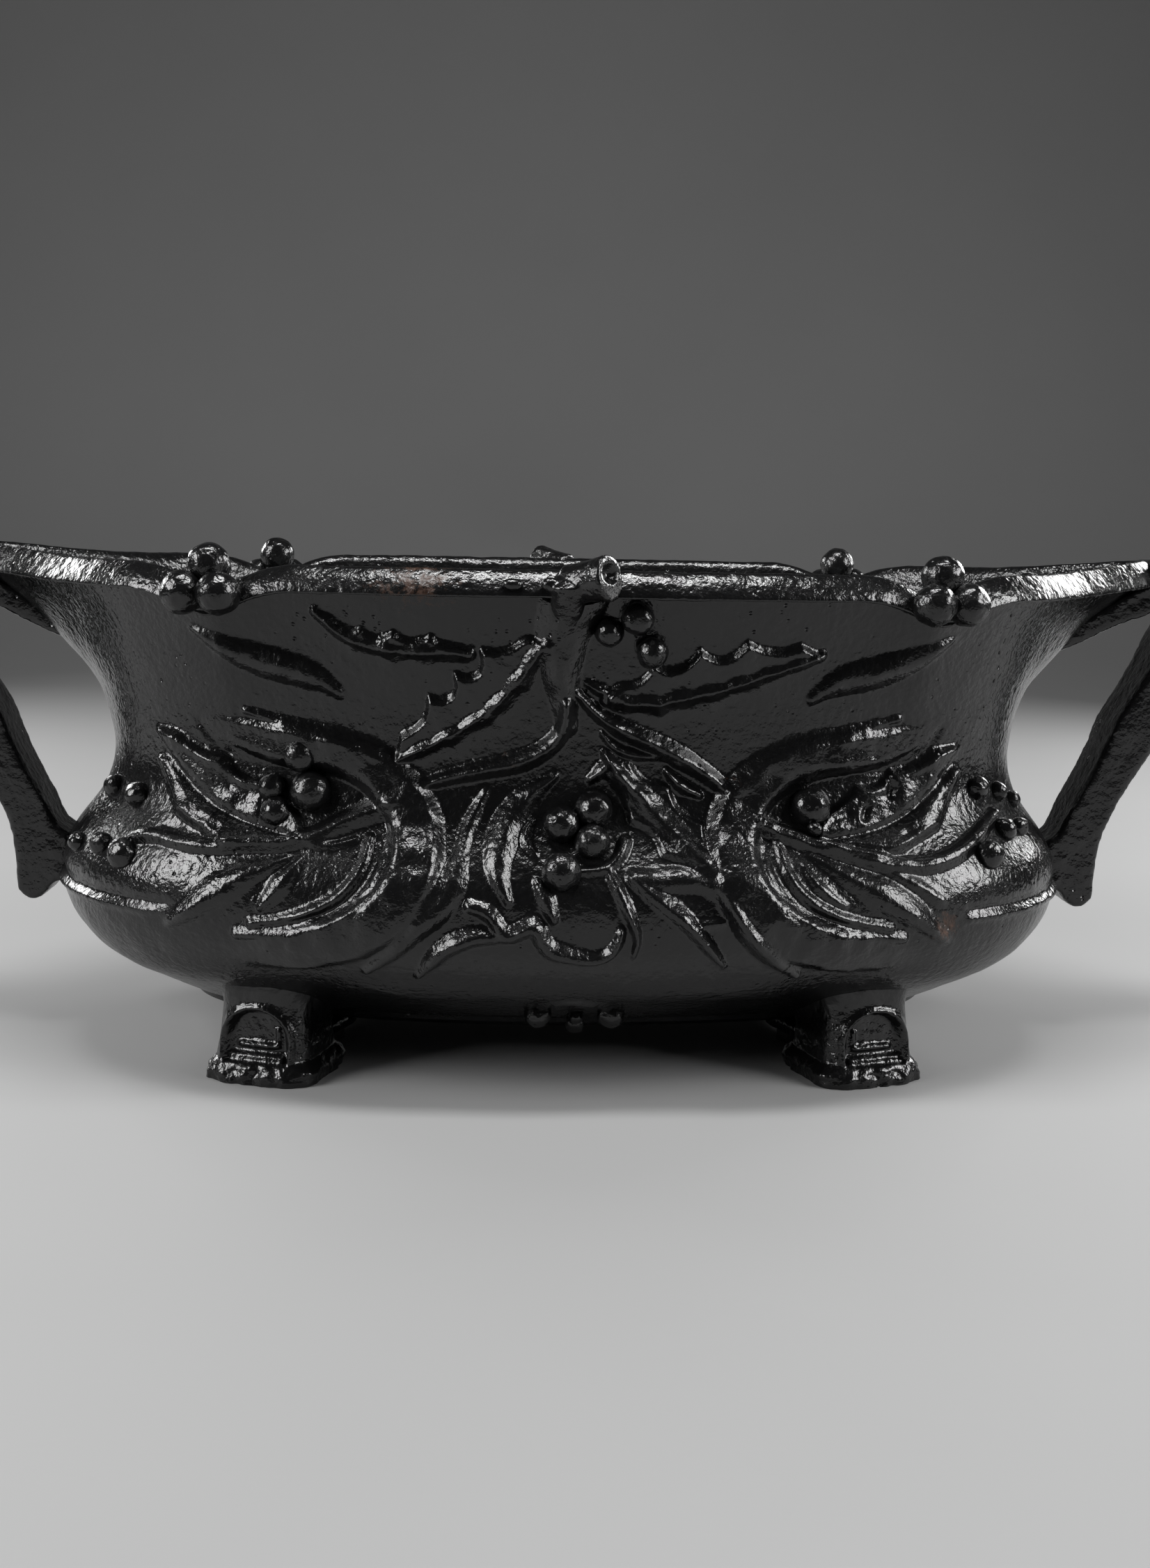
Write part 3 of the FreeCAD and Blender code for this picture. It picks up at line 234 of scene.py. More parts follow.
ridges = [
    (rise, halves, path)
    for rise, halves, line in (
        (2.2, (1.4, 3.0, 4.0, 4.2, 3.6, 1.6), strap),
        (1.1, (0.8, 1.3, 1.0), [(61, 106.5), (76, 109), (93, 113)]),
        (2.2, (1.5, 1.7, 1.4), outer_bead),
        (2.0, (1.1, 1.3, 1.0), inner_bead),
    )
    for path in both_sides(line)
] + [
    (3.8, (8.0, 7.0, 5.6, 4.0, 2.6), [(-1.5, 148), (-4, 140), (-5, 130), (-4, 120), (-2.5, 111)]),
    (1.6, (0.7, 1.1, 0.8), [(-9, 26), (-4, 30.5), (3, 31.5), (9, 28.5), (12, 25)]),
    (3.0, (2.0, 2.3, 2.6, 2.2, 1.4), [(-3, 118), (-4, 110), (-8, 105), (-15, 101), (-25, 98.5), (-42, 93.5)]),
    (3.2, (1.2, 2.3, 2.6, 1.6), [(0, 120.5), (8, 113), (20, 107), (30, 102), (38, 96.5), (44, 91.5)]),
    (1.8, (0.8, 1.3, 0.6), [(7, 109.5), (10, 105.7), (15, 103.4), (25, 102.5)]),
    (1.8, (0.6, 1.5, 0.6), [(2, 123.5), (5, 122), (10, 120)]),
    (2.4, (1.0, 1.9, 1.2), [(4, 96), (7, 98.5), (9.5, 102)]),
    (2.6, (0.8, 1.6, 0.8), [(25.5, 98.5), (29, 94.5), (35, 91.5)]),
    (2.6, (1.4, 1.2, 0.9), [(13.8, 79.3), (12, 75.5), (9, 73), (4, 72), (0, 72)]),
    (2.4, (1.0, 1.4, 1.2, 0.6), [(9, 72), (12, 66), (15, 60), (17, 54), (16, 49)]),
    (2.6, (0.8, 1.9, 1.2), [(-11, 69.5), (-8.5, 65), (-6, 59.5)]),
    (2.0, (0.6, 1.4, 0.6), [(-12, 84.5), (-14, 80), (-11, 76)]),
    (3.0, (1.4, 1.9, 2.2, 2.4, 1.8, 1.2), [
        (-29, 62.5), (-23, 60), (-19, 55.5), (-14.5, 56.5), (-11.5, 57.5), (-8.5, 52.8), (-3, 49.8),
        (3, 48.5), (8.5, 49.3), (11, 52), (12.5, 56),
    ]),
    (3.4, (1.8, 2.6, 2.6, 1.4), [(41, 66), (45, 59), (50, 53), (56, 48), (63, 42.5)]),
    (2.8, (1.8, 2.6, 2.8, 2.0), [(16, 70.5), (25, 69.5), (34, 69.5), (41, 66)]),
    (1.6, (0.5, 1.2, 0.9), [(31, 57), (36, 58), (41, 58.5)]),
    (3.6, (2.6, 2.3, 2.0), [(-51.5, 87), (-60, 84), (-67, 81), (-73, 78.5), (-78, 77.5)]),
    (1.8, (0.6, 1.4, 0.8), [(-79.5, 83), (-77.5, 79), (-73, 77), (-67, 76.8), (-61, 78.5)]),
    (3.0, (0.8, 2.6, 3.6, 3.2, 1.2), [(-80, 73), (-90, 68.5), (-98, 64), (-105, 59.5), (-114, 53.5)]),
    (2.2, (0.8, 2.4, 1.0), [(-76, 73), (-81, 66.5), (-87, 60)]),
    (3.0, (0.8, 2.4, 3.4, 3.0, 1.2), [(66, 75.5), (78, 69), (88, 63.5), (98, 57.5), (107, 50.5)]),
    (3.4, (0.9, 2.2, 3.2, 3.2, 2.4, 0.8), [
        (-18.5, 64), (-21.5, 72), (-20.5, 79), (-17, 86), (-12, 91.5), (-5.5, 97),
    ]),
    (3.2, (0.8, 1.6, 1.4, 3.0, 3.8, 2.6, 2.2, 1.0), [
        (-25, 92), (-28, 86), (-30.5, 80.5), (-32, 74), (-34.5, 67), (-40, 60), (-47, 52.5), (-58, 42.5),
    ]),
    (2.8, (1.0, 2.0, 2.5, 2.3, 0.9), [(-17, 54.2), (-26, 54.4), (-33, 52.5), (-38.5, 48), (-43.5, 41.5)]),
    (2.8, (0.9, 1.8, 2.1, 1.8, 0.7), [(15, 70), (22, 65), (29.5, 59.5), (36, 53), (42, 45.5)]),
    (3.6, (1.6, 2.6, 3.2, 3.4, 2.8, 1.2), [(41, 69), (34, 75), (27.5, 81), (20.5, 88), (14, 95), (8, 103.5)]),
    (1.8, (1.0, 1.6, 1.0), [(88, 71.2), (96, 67.5), (105, 62)]),
    (1.6, (0.6, 1.4, 0.6), [(64, 73), (69, 66.5), (76, 62)]),
]
cords = [
    (2.6, (1.5, 1.8, 1.7, 1.4), [(-78, 77), (-90, 76), (-100, 75), (-112, 75.5), (-120, 76.2), (-127, 74.5)]),
    (3.0, (2.3, 2.0, 1.9, 1.5), [
        (52, 83.5), (60, 80.5), (68, 77.8), (78, 75), (89, 72.8), (99, 72), (107, 73), (115, 76),
        (121, 79.5), (127, 83),
    ]),
]
grooves = [(2.4, (0.9, 2.4, 2.6, 1.8), path) for path in both_sides(scroll_groove)] + [
    (1.5, (0.8, 2.2, 1.6, 2.0), [(-76, 74.8), (-88, 71.7), (-100, 68.2), (-109, 61.8), (-116, 54.5)]),
    (1.2, (0.6, 0.9, 0.6), [(-125, 73.5), (-117, 74), (-109, 72.8)]),
    (1.2, (0.6, 0.9, 0.6), [(72, 77.6), (84, 75.8), (95, 74.7), (101, 76), (106, 78)]),
    (1.2, (0.6, 0.9, 0.6), [(82, 71.3), (95, 70.2), (105, 69.8), (113, 72), (119, 75.3)]),
    (1.8, (0.8, 2.4, 1.0), [(57, 79), (66, 74), (75, 69), (82, 65)]),
    (2.0, (1.1, 1.3, 1.0), [(-116, 79.3), (-114, 79), (-112, 79.4)]),
    (2.0, (1.1, 1.3, 1.0), [(-109, 78.6), (-107, 78.3), (-105, 78.4)]),
    (1.6, (1.0, 1.4, 1.0), [(91, 95), (91.5, 92.5), (91, 90.5)]),
    (1.4, (0.8, 1.0, 0.8), [(83.5, 87), (83, 85.5), (82.5, 84)]),
    (0.9, (0.7, 0.7), [(-117.5, 61), (-117.5, 52), (-118, 43)]),
    (0.7, (0.7, 0.7), [(107, 64), (107.5, 55), (107, 45)]),
]
# Leaves: rise, half width on the left and on the right of the way from stalk to tip, spines a side,
# how much of a roped midrib it has, or 0 for a sunk one, and the midrib itself.
leaves = [
    (3.0, 10.0, 15.0, 3, 0, [
        (-77, 77.5), (-88, 80), (-97, 82.7), (-105, 87.3), (-111, 93), (-116, 99), (-121, 106),
    ]),
    (3.0, 15.5, 10.0, 3, 0, [
        (69, 78.5), (80, 79.8), (90, 82), (98, 86), (104.5, 91.5), (109.5, 97.5), (114, 104),
    ]),
    (3.0, 9.0, 16.0, 4, 0.6, [
        (-9, 134.5), (-13, 128), (-18, 121.5), (-24, 115), (-31, 110), (-38, 106), (-50, 100),
    ]),
    (2.4, 7.0, 6.5, 4, 0.5, [(-30, 131), (-42, 131), (-52, 131.5), (-62, 134), (-72, 142)]),
    (2.8, 14.0, 8.0, 4, 0.6, [
        (8, 118.5), (20, 117.5), (30, 119.5), (40, 122), (50, 125.5), (58, 128), (68, 131.5),
    ]),
    (2.2, 8.0, 10.0, 3, 0.4, [(39, 71), (33, 76), (27, 81.5), (20, 88.5), (14, 95), (9, 103)]),
]
marks_by_kind = {"leaf": leaves, "band": bands, "groove": grooves, "ridge": ridges, "cord": cords}
holly = [
    (kind, rise, sizes, laid(path))
    for kind, marks in marks_by_kind.items()
    for rise, *sizes, path in marks
]

# Over an end runs the holly of both long faces, and a ridge with a groove above it rings the belly.
ring_height, ring_turn, ring_groove_lift = 56.0, 1.12, 3.0
ring_reach = end_radius + belly_bulge
belly_ring = np.array([
    (end_centre + ring_reach * math.cos(turn), ring_reach * math.sin(turn), ring_height)
    for turn in np.linspace(-ring_turn, ring_turn, 60)
])
half_turn = np.array([-1.0, -1.0, 1.0])
end_holly = holly + [(kind, rise, sizes, line * half_turn) for kind, rise, sizes, line in holly] + [
    ("ridge", 1.5, [(0.7, 1.2, 1.2, 0.7)], belly_ring),
    ("groove", 0.8, [(0.8, 1.5, 1.5, 0.8)], belly_ring + UP * ring_groove_lift),
]


def across(line, points):
    """Nearest place on a line: the gap, the share along it, the step off it, its run there and its length."""
    start, run = line[:-1], np.diff(line, axis=0)
    length = np.linalg.norm(run, axis=1)
    along = np.r_[0.0, np.cumsum(length)]
    from_start = points[:, None] - start
    share = np.clip((from_start * run).sum(2) / length**2, 0, 1)
    off = from_start - share[..., None] * run
    gap = np.linalg.norm(off, axis=2)
    best, pick = gap.argmin(axis=1), np.arange(len(points))
    place = (along[best] + share[pick, best] * length[best]) / along[-1]
    return gap[pick, best], place, off[pick, best], run[best] / length[best][:, None], along[-1]


def ease(value):
    """A soft step from 0 to 1."""
    value = np.clip(value, 0, 1)
    return value * value * (3 - 2 * value)


def leaf_rise(gap, place, side, length, slope, rise, left, right, spines, rib_share):
    """Height of a spiny leaf: a pillowed blade with a roped midrib, or a cupped one with a sunk midrib."""
    spine_depth = 0.32 if rib_share else 0.16
    fullness = np.clip(4 * place**0.8 * (1 - place**0.8), 0, 1) ** 0.6
    wide = np.where(side > 0, left, right)
    phase = place * (spines + 0.35)
    scallop = np.sin(math.pi * (phase % 1.0)) ** 0.8
    margin = wide * fullness * (1 - spine_depth * scallop) + 0.3
    inside = ease((margin - gap) / slope)
    q = np.clip(gap / margin, 0, 1.2)
    if rib_share:
        rib_half, rib_taper, rope_pitch, rib_base = 3.8, 1.8, 8.5, 0.8
        twist = np.abs(np.sin(math.pi * (place * length + 0.5 * side) / rope_pitch))
        half = (rib_half - rib_taper * place) * (0.7 + 0.3 * twist)
        pillow = 0.6 + 0.3 * q * (1.6 - q) * (1 - 0.6 * scallop)
        rolled_edge = np.exp(-(((margin - gap - 1.4) / 1.0) ** 2))
        blade = rise * pillow + 0.8 * (1 - rib_share) * rolled_edge
        rib = rib_share * (0.9 * rise + rib_base) * (0.7 + 0.3 * twist) * np.clip(1 - (gap / half) ** 2, 0, 1)
        bare_rib = 0.8 * rise * np.clip(1 - (gap / (0.4 + 0.6 * half)) ** 2, 0, 1)
        return np.maximum(inside * (blade + rib), bare_rib)
    vein_depth, vein_half = 1.5, 1.5
    hollow = scallop**2 * np.exp(-(((q - 0.62) / 0.2) ** 2))
    cup = np.where(wide > min(left, right), 0.5, 0.2)
    blade = rise * (0.85 - 0.45 * cup + (0.2 + 0.6 * cup) * q) * (1 - 0.25 * hollow)
    return inside * (blade - vein_depth * np.exp(-((gap / vein_half) ** 2)))


def relief(points, outward, marks):
    """Height of the holly over each point of a face."""
    height = np.zeros(len(points))
    reach, crisp_edge, soft_edge = 18.0, 2.2, 10.0
    for kind, rise, sizes, line in marks:
        near = np.where(np.all((points > line.min(0) - reach) & (points < line.max(0) + reach), axis=1))[0]
        if not len(near):
            continue
        gap, place, off, run, length = across(line, points[near])
        side = (np.cross(run, off) * outward[near]).sum(1)
        if kind == "leaf":
            hanging = (off[:, 2] < 0) & (outward[near][:, 2] < 0)
            slope = np.where(hanging, soft_edge, crisp_edge)
            shape = leaf_rise(gap, place, side, length, slope, rise, *sizes)
            height[near] = np.maximum(height[near], shape)
            continue
        half = np.interp(place, np.linspace(0, 1, len(sizes[0])), sizes[0])
        if kind == "band":
            inner = side * sizes[1] > 0
            steep = np.sqrt(np.clip(1 - (gap / half) ** 5, 0, 1))
            soft = ease((1.2 * half - gap) / (0.6 * half))
            shape = rise * np.where(inner, steep, soft) * ease(place / 0.22) * ease((1 - place) / 0.2)
            height[near] = np.maximum(height[near], shape)
        elif kind == "ridge":
            upper = 0.5 + 0.5 * off[:, 2] / np.maximum(gap, 0.01)
            facing_up = ease((outward[near][:, 2] + 0.1) / 0.4)
            share = np.clip(gap / (half * (1.2 + 0.65 * upper * facing_up)), 0, 1)
            shape = (1.2 - 0.45 * facing_up) * rise * (half / max(sizes[0])) ** 0.6 * (1 - share**1.7)
            height[near] = np.maximum(height[near], 0.5 * height[near] + shape)
        elif kind == "cord":
            furrow = 0.3 * rise * np.exp(-((gap / 0.5) ** 2))
            shape = rise * np.clip(1 - (gap / (1.3 * half)) ** 2, 0, 1) - furrow
            height[near] = np.maximum(height[near], 0.5 * height[near] + shape)
        else:
            height[near] -= rise * np.exp(-((gap / half) ** 2))
    return height


def uneven(points, size, seed):
    """Slow sand-cast unevenness from -1 to 1, at a size in millimetres."""
    shift = Vector((seed * 7.3, seed * 3.1, seed * 5.7))
    return np.array([noise.noise(Vector(p) / size + shift) for p in points])


# Rust comes through in a few places, as width, height, size and strength. The wide one lies along the rim.
rust_spots = [
    (-44, 150, 20, 0.52), (107, 55, 7, 0.6), (16, 143, 5, 0.45), (-118, 52, 7, 0.45), (46, 96, 7, 0.35),
    (-20, 101, 8, 0.35),
]
relief_foot, relief_fade, face_top = 18.0, 6.0, 146.0
wide_rust, wide_rust_squash = 12, 0.6


def raised(stations, marks):
    """A wall's points with its holly and sand-cast unevenness raised on them, and its rust."""
    shape = stations.shape[0], stations.shape[2]
    flat, outward = stations[:, 0].reshape(-1, 3), stations[:, 1].reshape(-1, 3)
    row = np.tile(np.arange(shape[1]), shape[0])
    face = row < outer_rows + 1
    height = np.zeros(len(flat))
    clear_of_base = ease((flat[face][:, 2] - relief_foot) / relief_fade)
    height[face] = relief(flat[face], outward[face], marks) * clear_of_base
    height = height.reshape(shape)
    for _ in range(2):
        height[1:-1] = (height[:-2] + 2 * height[1:-1] + height[2:]) / 4
        height = (np.roll(height, 1, 1) + 2 * height + np.roll(height, -1, 1)) / 4
    height = height.ravel() * (1 + 0.25 * uneven(flat, 6.0, 4))
    outside = row < lip_end
    height[outside] += 0.2 * uneven(flat[outside], 9.0, 1) + 0.06 * uneven(flat[outside], 2.6, 2)
    edge = (row >= outer_rows) & (row < crown_end)
    height[edge] += 0.2 * uneven(flat[edge], 5.0, 3)
    rust = np.zeros(len(flat))
    for x, z, size, strength in rust_spots:
        centre = on_face(x, min(z, face_top)) + UP * max(0.0, z - face_top)
        squash = np.array([1.0, 1.0, wide_rust_squash if size > wide_rust else 1.0])
        gap = np.linalg.norm((flat - centre) / squash, axis=1)
        rust = np.maximum(rust, strength * np.exp(-((gap / size) ** 2)))
    return (flat + outward * height[:, None]).reshape(*shape, 3), rust.reshape(shape)


def outward_of(grid):
    """Outward direction at each point of a raised wall."""
    normal = np.cross(np.gradient(grid, axis=0), np.roll(grid, -1, 1) - np.roll(grid, 1, 1))
    return normal / np.linalg.norm(normal, axis=2)[..., None]


def met(one, other):
    """The direction halfway between two."""
    both = one + other
    return both / np.linalg.norm(both, axis=1)[:, None]


def shown(name, data):
    """A mesh, lamp or camera set in the scene."""
    piece = bpy.data.objects.new(name, data)
    scene.collection.objects.link(piece)
    return piece


def wall_piece(name, grid, outward, rust, turn, finish):
    """A closed painted wall from a run of its stations, as it is or turned to the far side."""
    columns, rows, _ = grid.shape
    index = np.arange(columns * rows).reshape(columns, rows)
    near, far = index[:-1], index[1:]
    quads = np.stack([near, far, np.roll(far, -1, 1), np.roll(near, -1, 1)], axis=2).reshape(-1, 4)
    faces = quads.tolist() + [index[0].tolist(), index[-1][::-1].tolist()]
    mesh = bpy.data.meshes.new(name)
    mesh.from_pydata((grid.reshape(-1, 3) * turn * MM).tolist(), [], faces)
    rust_mask = mesh.attributes.new("rust", "FLOAT", "POINT")
    rust_mask.data.foreach_set("value", rust.ravel().astype(np.float32))
    mesh.polygons.foreach_set("use_smooth", [True] * len(faces))
    mesh.normals_split_custom_set_from_vertices((outward.reshape(-1, 3) * turn).tolist())
    mesh.materials.append(finish)
    return shown(name, mesh)


def put(tree, kind, links=None, **settings):
    """A node with its settings, and its sockets set or linked."""
    made = tree.nodes.new(kind)
    for name, value in settings.items():
        setattr(made, name, value)
    for socket, value in (links or {}).items():
        if isinstance(value, bpy.types.NodeSocket):
            tree.links.new(value, made.inputs[socket])
        else:
            made.inputs[socket].default_value = value
    return made


def effect(name, inputs, outputs):
    """An empty shader group with named sockets, its input node and its output node."""
    tree = bpy.data.node_groups.new(name, "ShaderNodeTree")
    for label, kind, value in inputs:
        tree.interface.new_socket(label, in_out="INPUT", socket_type=kind).default_value = value
    for label, kind in outputs:
        tree.interface.new_socket(label, in_out="OUTPUT", socket_type=kind)
    return tree, tree.nodes.new("NodeGroupInput").outputs, tree.nodes.new("NodeGroupOutput").inputs


def math_node(tree, operation, a, b=0.0, c=0.0):
    """A sum, product or other figure from values or sockets."""
    return put(tree, "ShaderNodeMath", {0: a, 1: b, 2: c}, operation=operation).outputs[0]


def spread(tree, value, low, high, to_low=0.0, to_high=1.0):
    """A value stretched from one range to another and held there."""
    return put(tree, "ShaderNodeMapRange", {
        "Value": value, "From Min": low, "From Max": high, "To Min": to_low, "To Max": to_high,
    }).outputs["Result"]


def soft_noise(tree, place, scale, detail, roughness=0.5):
    """Cloudy noise from 0 to 1 over a piece."""
    return put(tree, "ShaderNodeTexNoise", {
        "Vector": place, "Scale": scale, "Detail": detail, "Roughness": roughness,
    }).outputs[0]


def blend(tree, factor, one, other):
    """One colour passing into another."""
    return put(tree, "ShaderNodeMix", {"Factor": factor, 6: one, 7: other}, data_type="RGBA").outputs[2]


def new_finish(name):
    """An empty finish: its material, node tree and shader."""
    material = bpy.data.materials.new(name)
    material.use_nodes = True
    return material, material.node_tree, material.node_tree.nodes["Principled BSDF"]


# Sand-cast skin: fine sand grain, lumps and scattered pits, as a height and a mask of duller patches.
skin, taken, given = effect(
    "sand_cast_skin",
    [("Grain Size", "NodeSocketFloat", 1.0)],
    [("Height", "NodeSocketFloat"), ("Dullness", "NodeSocketFloat")],
)
place = put(skin, "ShaderNodeTexCoord").outputs["Object"]
place = put(
    skin, "ShaderNodeVectorMath", {0: place, "Scale": taken["Grain Size"]}, operation="SCALE"
).outputs[0]
grain = soft_noise(skin, place, 700.0, 2.0)
lumps = soft_noise(skin, place, 480.0, 2.5, 0.55)
cells = put(skin, "ShaderNodeTexVoronoi", {"Vector": place, "Scale": 330.0}).outputs["Distance"]
pits = spread(skin, cells, 0.0, 0.22, 1.0, 0.0)
where = soft_noise(skin, place, 70.0, 2.0)
pits = math_node(skin, "MULTIPLY", pits, spread(skin, where, 0.5, 0.68))
low = math_node(skin, "MULTIPLY_ADD", lumps, 0.75, math_node(skin, "MULTIPLY", grain, 0.2))
skin.links.new(math_node(skin, "MULTIPLY_ADD", pits, -0.8, low), given["Height"])
patches = soft_noise(skin, place, 38.0, 4.0, 0.65)
dull = math_node(skin, "MULTIPLY_ADD", grain, 0.35, math_node(skin, "MULTIPLY", patches, 0.65))
skin.links.new(spread(skin, dull, 0.36, 0.64), given["Dullness"])

# Rust bloom: where a mask is high the paint is broken by brown rust in small ragged spots.
bloom, taken, given = effect(
    "rust_bloom",
    [("Mask", "NodeSocketFloat", 0.0), ("Paint", "NodeSocketColor", (0.01, 0.01, 0.01, 1)),
     ("Rust", "NodeSocketColor", (0.12, 0.045, 0.018, 1))],
    [("Colour", "NodeSocketColor"), ("Amount", "NodeSocketFloat")],
)
place = put(bloom, "ShaderNodeTexCoord").outputs["Object"]
ragged = soft_noise(bloom, place, 420.0, 5.0, 0.7)
amount = math_node(bloom, "ADD", taken["Mask"], math_node(bloom, "SUBTRACT", ragged, 0.5))
masked = spread(bloom, taken["Mask"], 0.02, 0.25)
amount = math_node(bloom, "MULTIPLY", spread(bloom, amount, 0.42, 0.72), masked)
tone = soft_noise(bloom, place, 150.0, 3.0)
darker = blend(bloom, tone, taken["Rust"], (0.05, 0.022, 0.012, 1))
colour = blend(bloom, amount, taken["Paint"], darker)
bloom.links.new(colour, given["Colour"])
bloom.links.new(amount, given["Amount"])


def painted_iron(name, paint, rust, dull_low, dull_high, bump, bump_depth):
    """Glossy black paint over sand-cast iron, with a rust mask from the piece's own attribute."""
    material, tree, shader = new_finish(name)
    mask = put(tree, "ShaderNodeAttribute", attribute_name="rust").outputs["Fac"]
    flakes = put(tree, "ShaderNodeGroup", {"Mask": mask, "Paint": paint, "Rust": rust}, node_tree=bloom)
    flesh = put(tree, "ShaderNodeGroup", {"Grain Size": 1.0}, node_tree=skin)
    rough = spread(tree, flesh.outputs["Dullness"], 0.0, 1.0, dull_low, dull_high)
    rough = math_node(tree, "MULTIPLY_ADD", flakes.outputs["Amount"], 0.4, rough)
    lift = put(tree, "ShaderNodeBump", {
        "Strength": bump, "Distance": bump_depth, "Height": flesh.outputs["Height"],
    })
    tree.links.new(flakes.outputs["Colour"], shader.inputs["Base Color"])
    tree.links.new(rough, shader.inputs["Roughness"])
    tree.links.new(lift.outputs["Normal"], shader.inputs["Normal"])
    shader.inputs["IOR"].default_value = 1.55
    return material


black_iron = painted_iron(
    "black_painted_iron", paint=(0.004, 0.004, 0.0042, 1), rust=(0.10, 0.042, 0.02, 1),
    dull_low=0.16, dull_high=0.28, bump=1.0, bump_depth=0.00055,
)

long_columns, end_columns = 579, 290
front_grid, front_rust = raised(long_wall(long_columns), holly)
front_outward = outward_of(front_grid)

# End panels
# Each end of the bowl is one casting drawn out at the rim to a pointed lip over its handle.
# Grey iron like the long walls, bolted between them through lugs, with the holly running on round it.


def end_wall(columns):
    """Stations round the right end panel, from the front joint to the back one, closest at the tip."""
    spread_out = np.linspace(-1, 1, columns)
    stations = []
    for angle in end_span * (0.75 * spread_out + 0.25 * spread_out**3):
        radial = np.array([math.cos(angle), math.sin(angle), 0])
        stations.append(stood(wall_loop(*end_rim(angle)), (end_centre, 0, 0), end_radius, radial))
    return np.array(stations)


end_grid, end_rust = raised(end_wall(end_columns), end_holly)
end_grid[0], end_grid[-1] = front_grid[-1], front_grid[0] * half_turn
end_outward = outward_of(end_grid)
front_outward[-1] = end_outward[0] = met(front_outward[-1], end_outward[0])
front_outward[0] = met(front_outward[0], end_outward[-1] * half_turn)
end_outward[-1] = front_outward[0] * half_turn
middle = len(front_grid) // 2
left_run, right_run = slice(0, middle + 1), slice(middle, None)
same_side = np.array([1.0, 1.0, 1.0])
for name, turn, share in (("front", same_side, 1.0), ("back", half_turn, 0.6)):
    for half, run in (("left", left_run), ("right", right_run)):
        piece = wall_piece(
            f"{name}_{half}_casting", front_grid[run], front_outward[run], front_rust[run] * share,
            turn, black_iron,
        )
        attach(piece, "planter")
        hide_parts(name + "_panel")
for name, turn in (("right_end", same_side), ("left_end", half_turn)):
    piece = wall_piece(name + "_casting", end_grid, end_outward, end_rust, turn, black_iron)
    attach(piece, "planter")
    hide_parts(name + "_panel")

# Berries
# Holly berries stand on the bowl in twos and threes, cast in one with the wall behind them.
# Round iron beads under the same black paint, with larger ones heaped in the four notches of the rim.
berry_places = [
    (-77, 101, 4.7, 1.6), (-85, 91, 4.0, 1.6), (-74, 90.5, 5.8, 1.4), (-83.5, 84.5, 4.3, 1.6),
    (-136.5, 86, 3.6, 0.2), (-127, 85.5, 4.0, 0.2), (-137.5, 71.5, 3.6, 0.2), (-129, 70.5, 4.6, 0.2),
    (-147, 69.5, 3.2, 0.2),
    (67, 88, 5.8, 1.0), (67.5, 81.5, 2.2, 2.2),
    (121, 91, 3.7, 0.2), (130, 88.5, 3.2, 0.2), (137, 85, 2.8, 0.2), (130, 78.5, 3.7, 0.2),
    (122, 73, 4.2, 0.4), (137, 78, 3.0, 0.2),
    (15.5, 142, 4.6, 1.4), (20, 132.5, 4.4, 1.6), (8, 138, 4.0, 1.4),
    (-4, 83.5, 5.4, 1.2), (5, 87.5, 5.4, 1.2), (4.5, 79, 5.0, 1.2), (-4, 71.8, 5.5, 1.2),
    (-9, 24, 4.0, 0.6), (12.5, 24, 4.0, 0.6), (2.5, 18.5, 3.4, 0.6), (2.5, 22.8, 2.0, 1.0),
]
cluster_radius, cluster_top_inset, cluster_outset, cluster_spread, cluster_drop = 6.0, 2.5, 3.0, 5.2, 7.4
cluster_sink, face_step = 0.8, 0.5
berry_fineness, berry_waver, waver_scale = 4, 0.0011, 240.0


def joint_ways(side, face=-1):
    """At a joint of the walls, the way out of the bowl and the way along the long wall."""
    radial = np.array([side * math.sin(joint_angle), face * math.cos(joint_angle), 0])
    return radial, np.array([-side * math.cos(joint_angle), face * math.sin(joint_angle), 0])


beads = []
for x, z, radius, lift in berry_places:
    here = on_face(x, z)
    beside = on_face(x + face_step, z) - here
    above = on_face(x, z + face_step) - here
    outward = np.cross(beside, above)
    outward /= np.linalg.norm(outward)
    beads.append((here + outward * lift, radius))
for side in (-1, 1):
    radial, inward = joint_ways(side)
    root = np.array([side * end_centre, 0, rim_height - cluster_sink]) + radial * end_radius
    beads.append((root + radial * (joint_edge - cluster_top_inset), cluster_radius))
    for way in (-1, 1):
        spot = root + radial * (joint_edge + cluster_outset) + inward * way * cluster_spread
        beads.append((spot - UP * cluster_drop, cluster_radius))

berry_tree = bpy.data.node_groups.new("heaped_berries", "GeometryNodeTree")
berry_tree.interface.new_socket("Places", in_out="INPUT", socket_type="NodeSocketGeometry")
fineness = berry_tree.interface.new_socket("Fineness", in_out="INPUT", socket_type="NodeSocketInt")
waver = berry_tree.interface.new_socket("Unevenness", in_out="INPUT", socket_type="NodeSocketFloat")
coat = berry_tree.interface.new_socket("Paint", in_out="INPUT", socket_type="NodeSocketMaterial")
berry_tree.interface.new_socket("Berries", in_out="OUTPUT", socket_type="NodeSocketGeometry")
taken = berry_tree.nodes.new("NodeGroupInput").outputs
given = berry_tree.nodes.new("NodeGroupOutput").inputs
bead = put(
    berry_tree, "GeometryNodeMeshIcoSphere", {"Radius": 1.0, "Subdivisions": taken["Fineness"]}
).outputs["Mesh"]
size = put(
    berry_tree, "GeometryNodeInputNamedAttribute", {"Name": "radius"}, data_type="FLOAT"
).outputs["Attribute"]
heap = put(
    berry_tree, "GeometryNodeInstanceOnPoints", {"Points": taken["Places"], "Instance": bead, "Scale": size}
).outputs[0]
heap = put(berry_tree, "GeometryNodeRealizeInstances", {"Geometry": heap}).outputs[0]
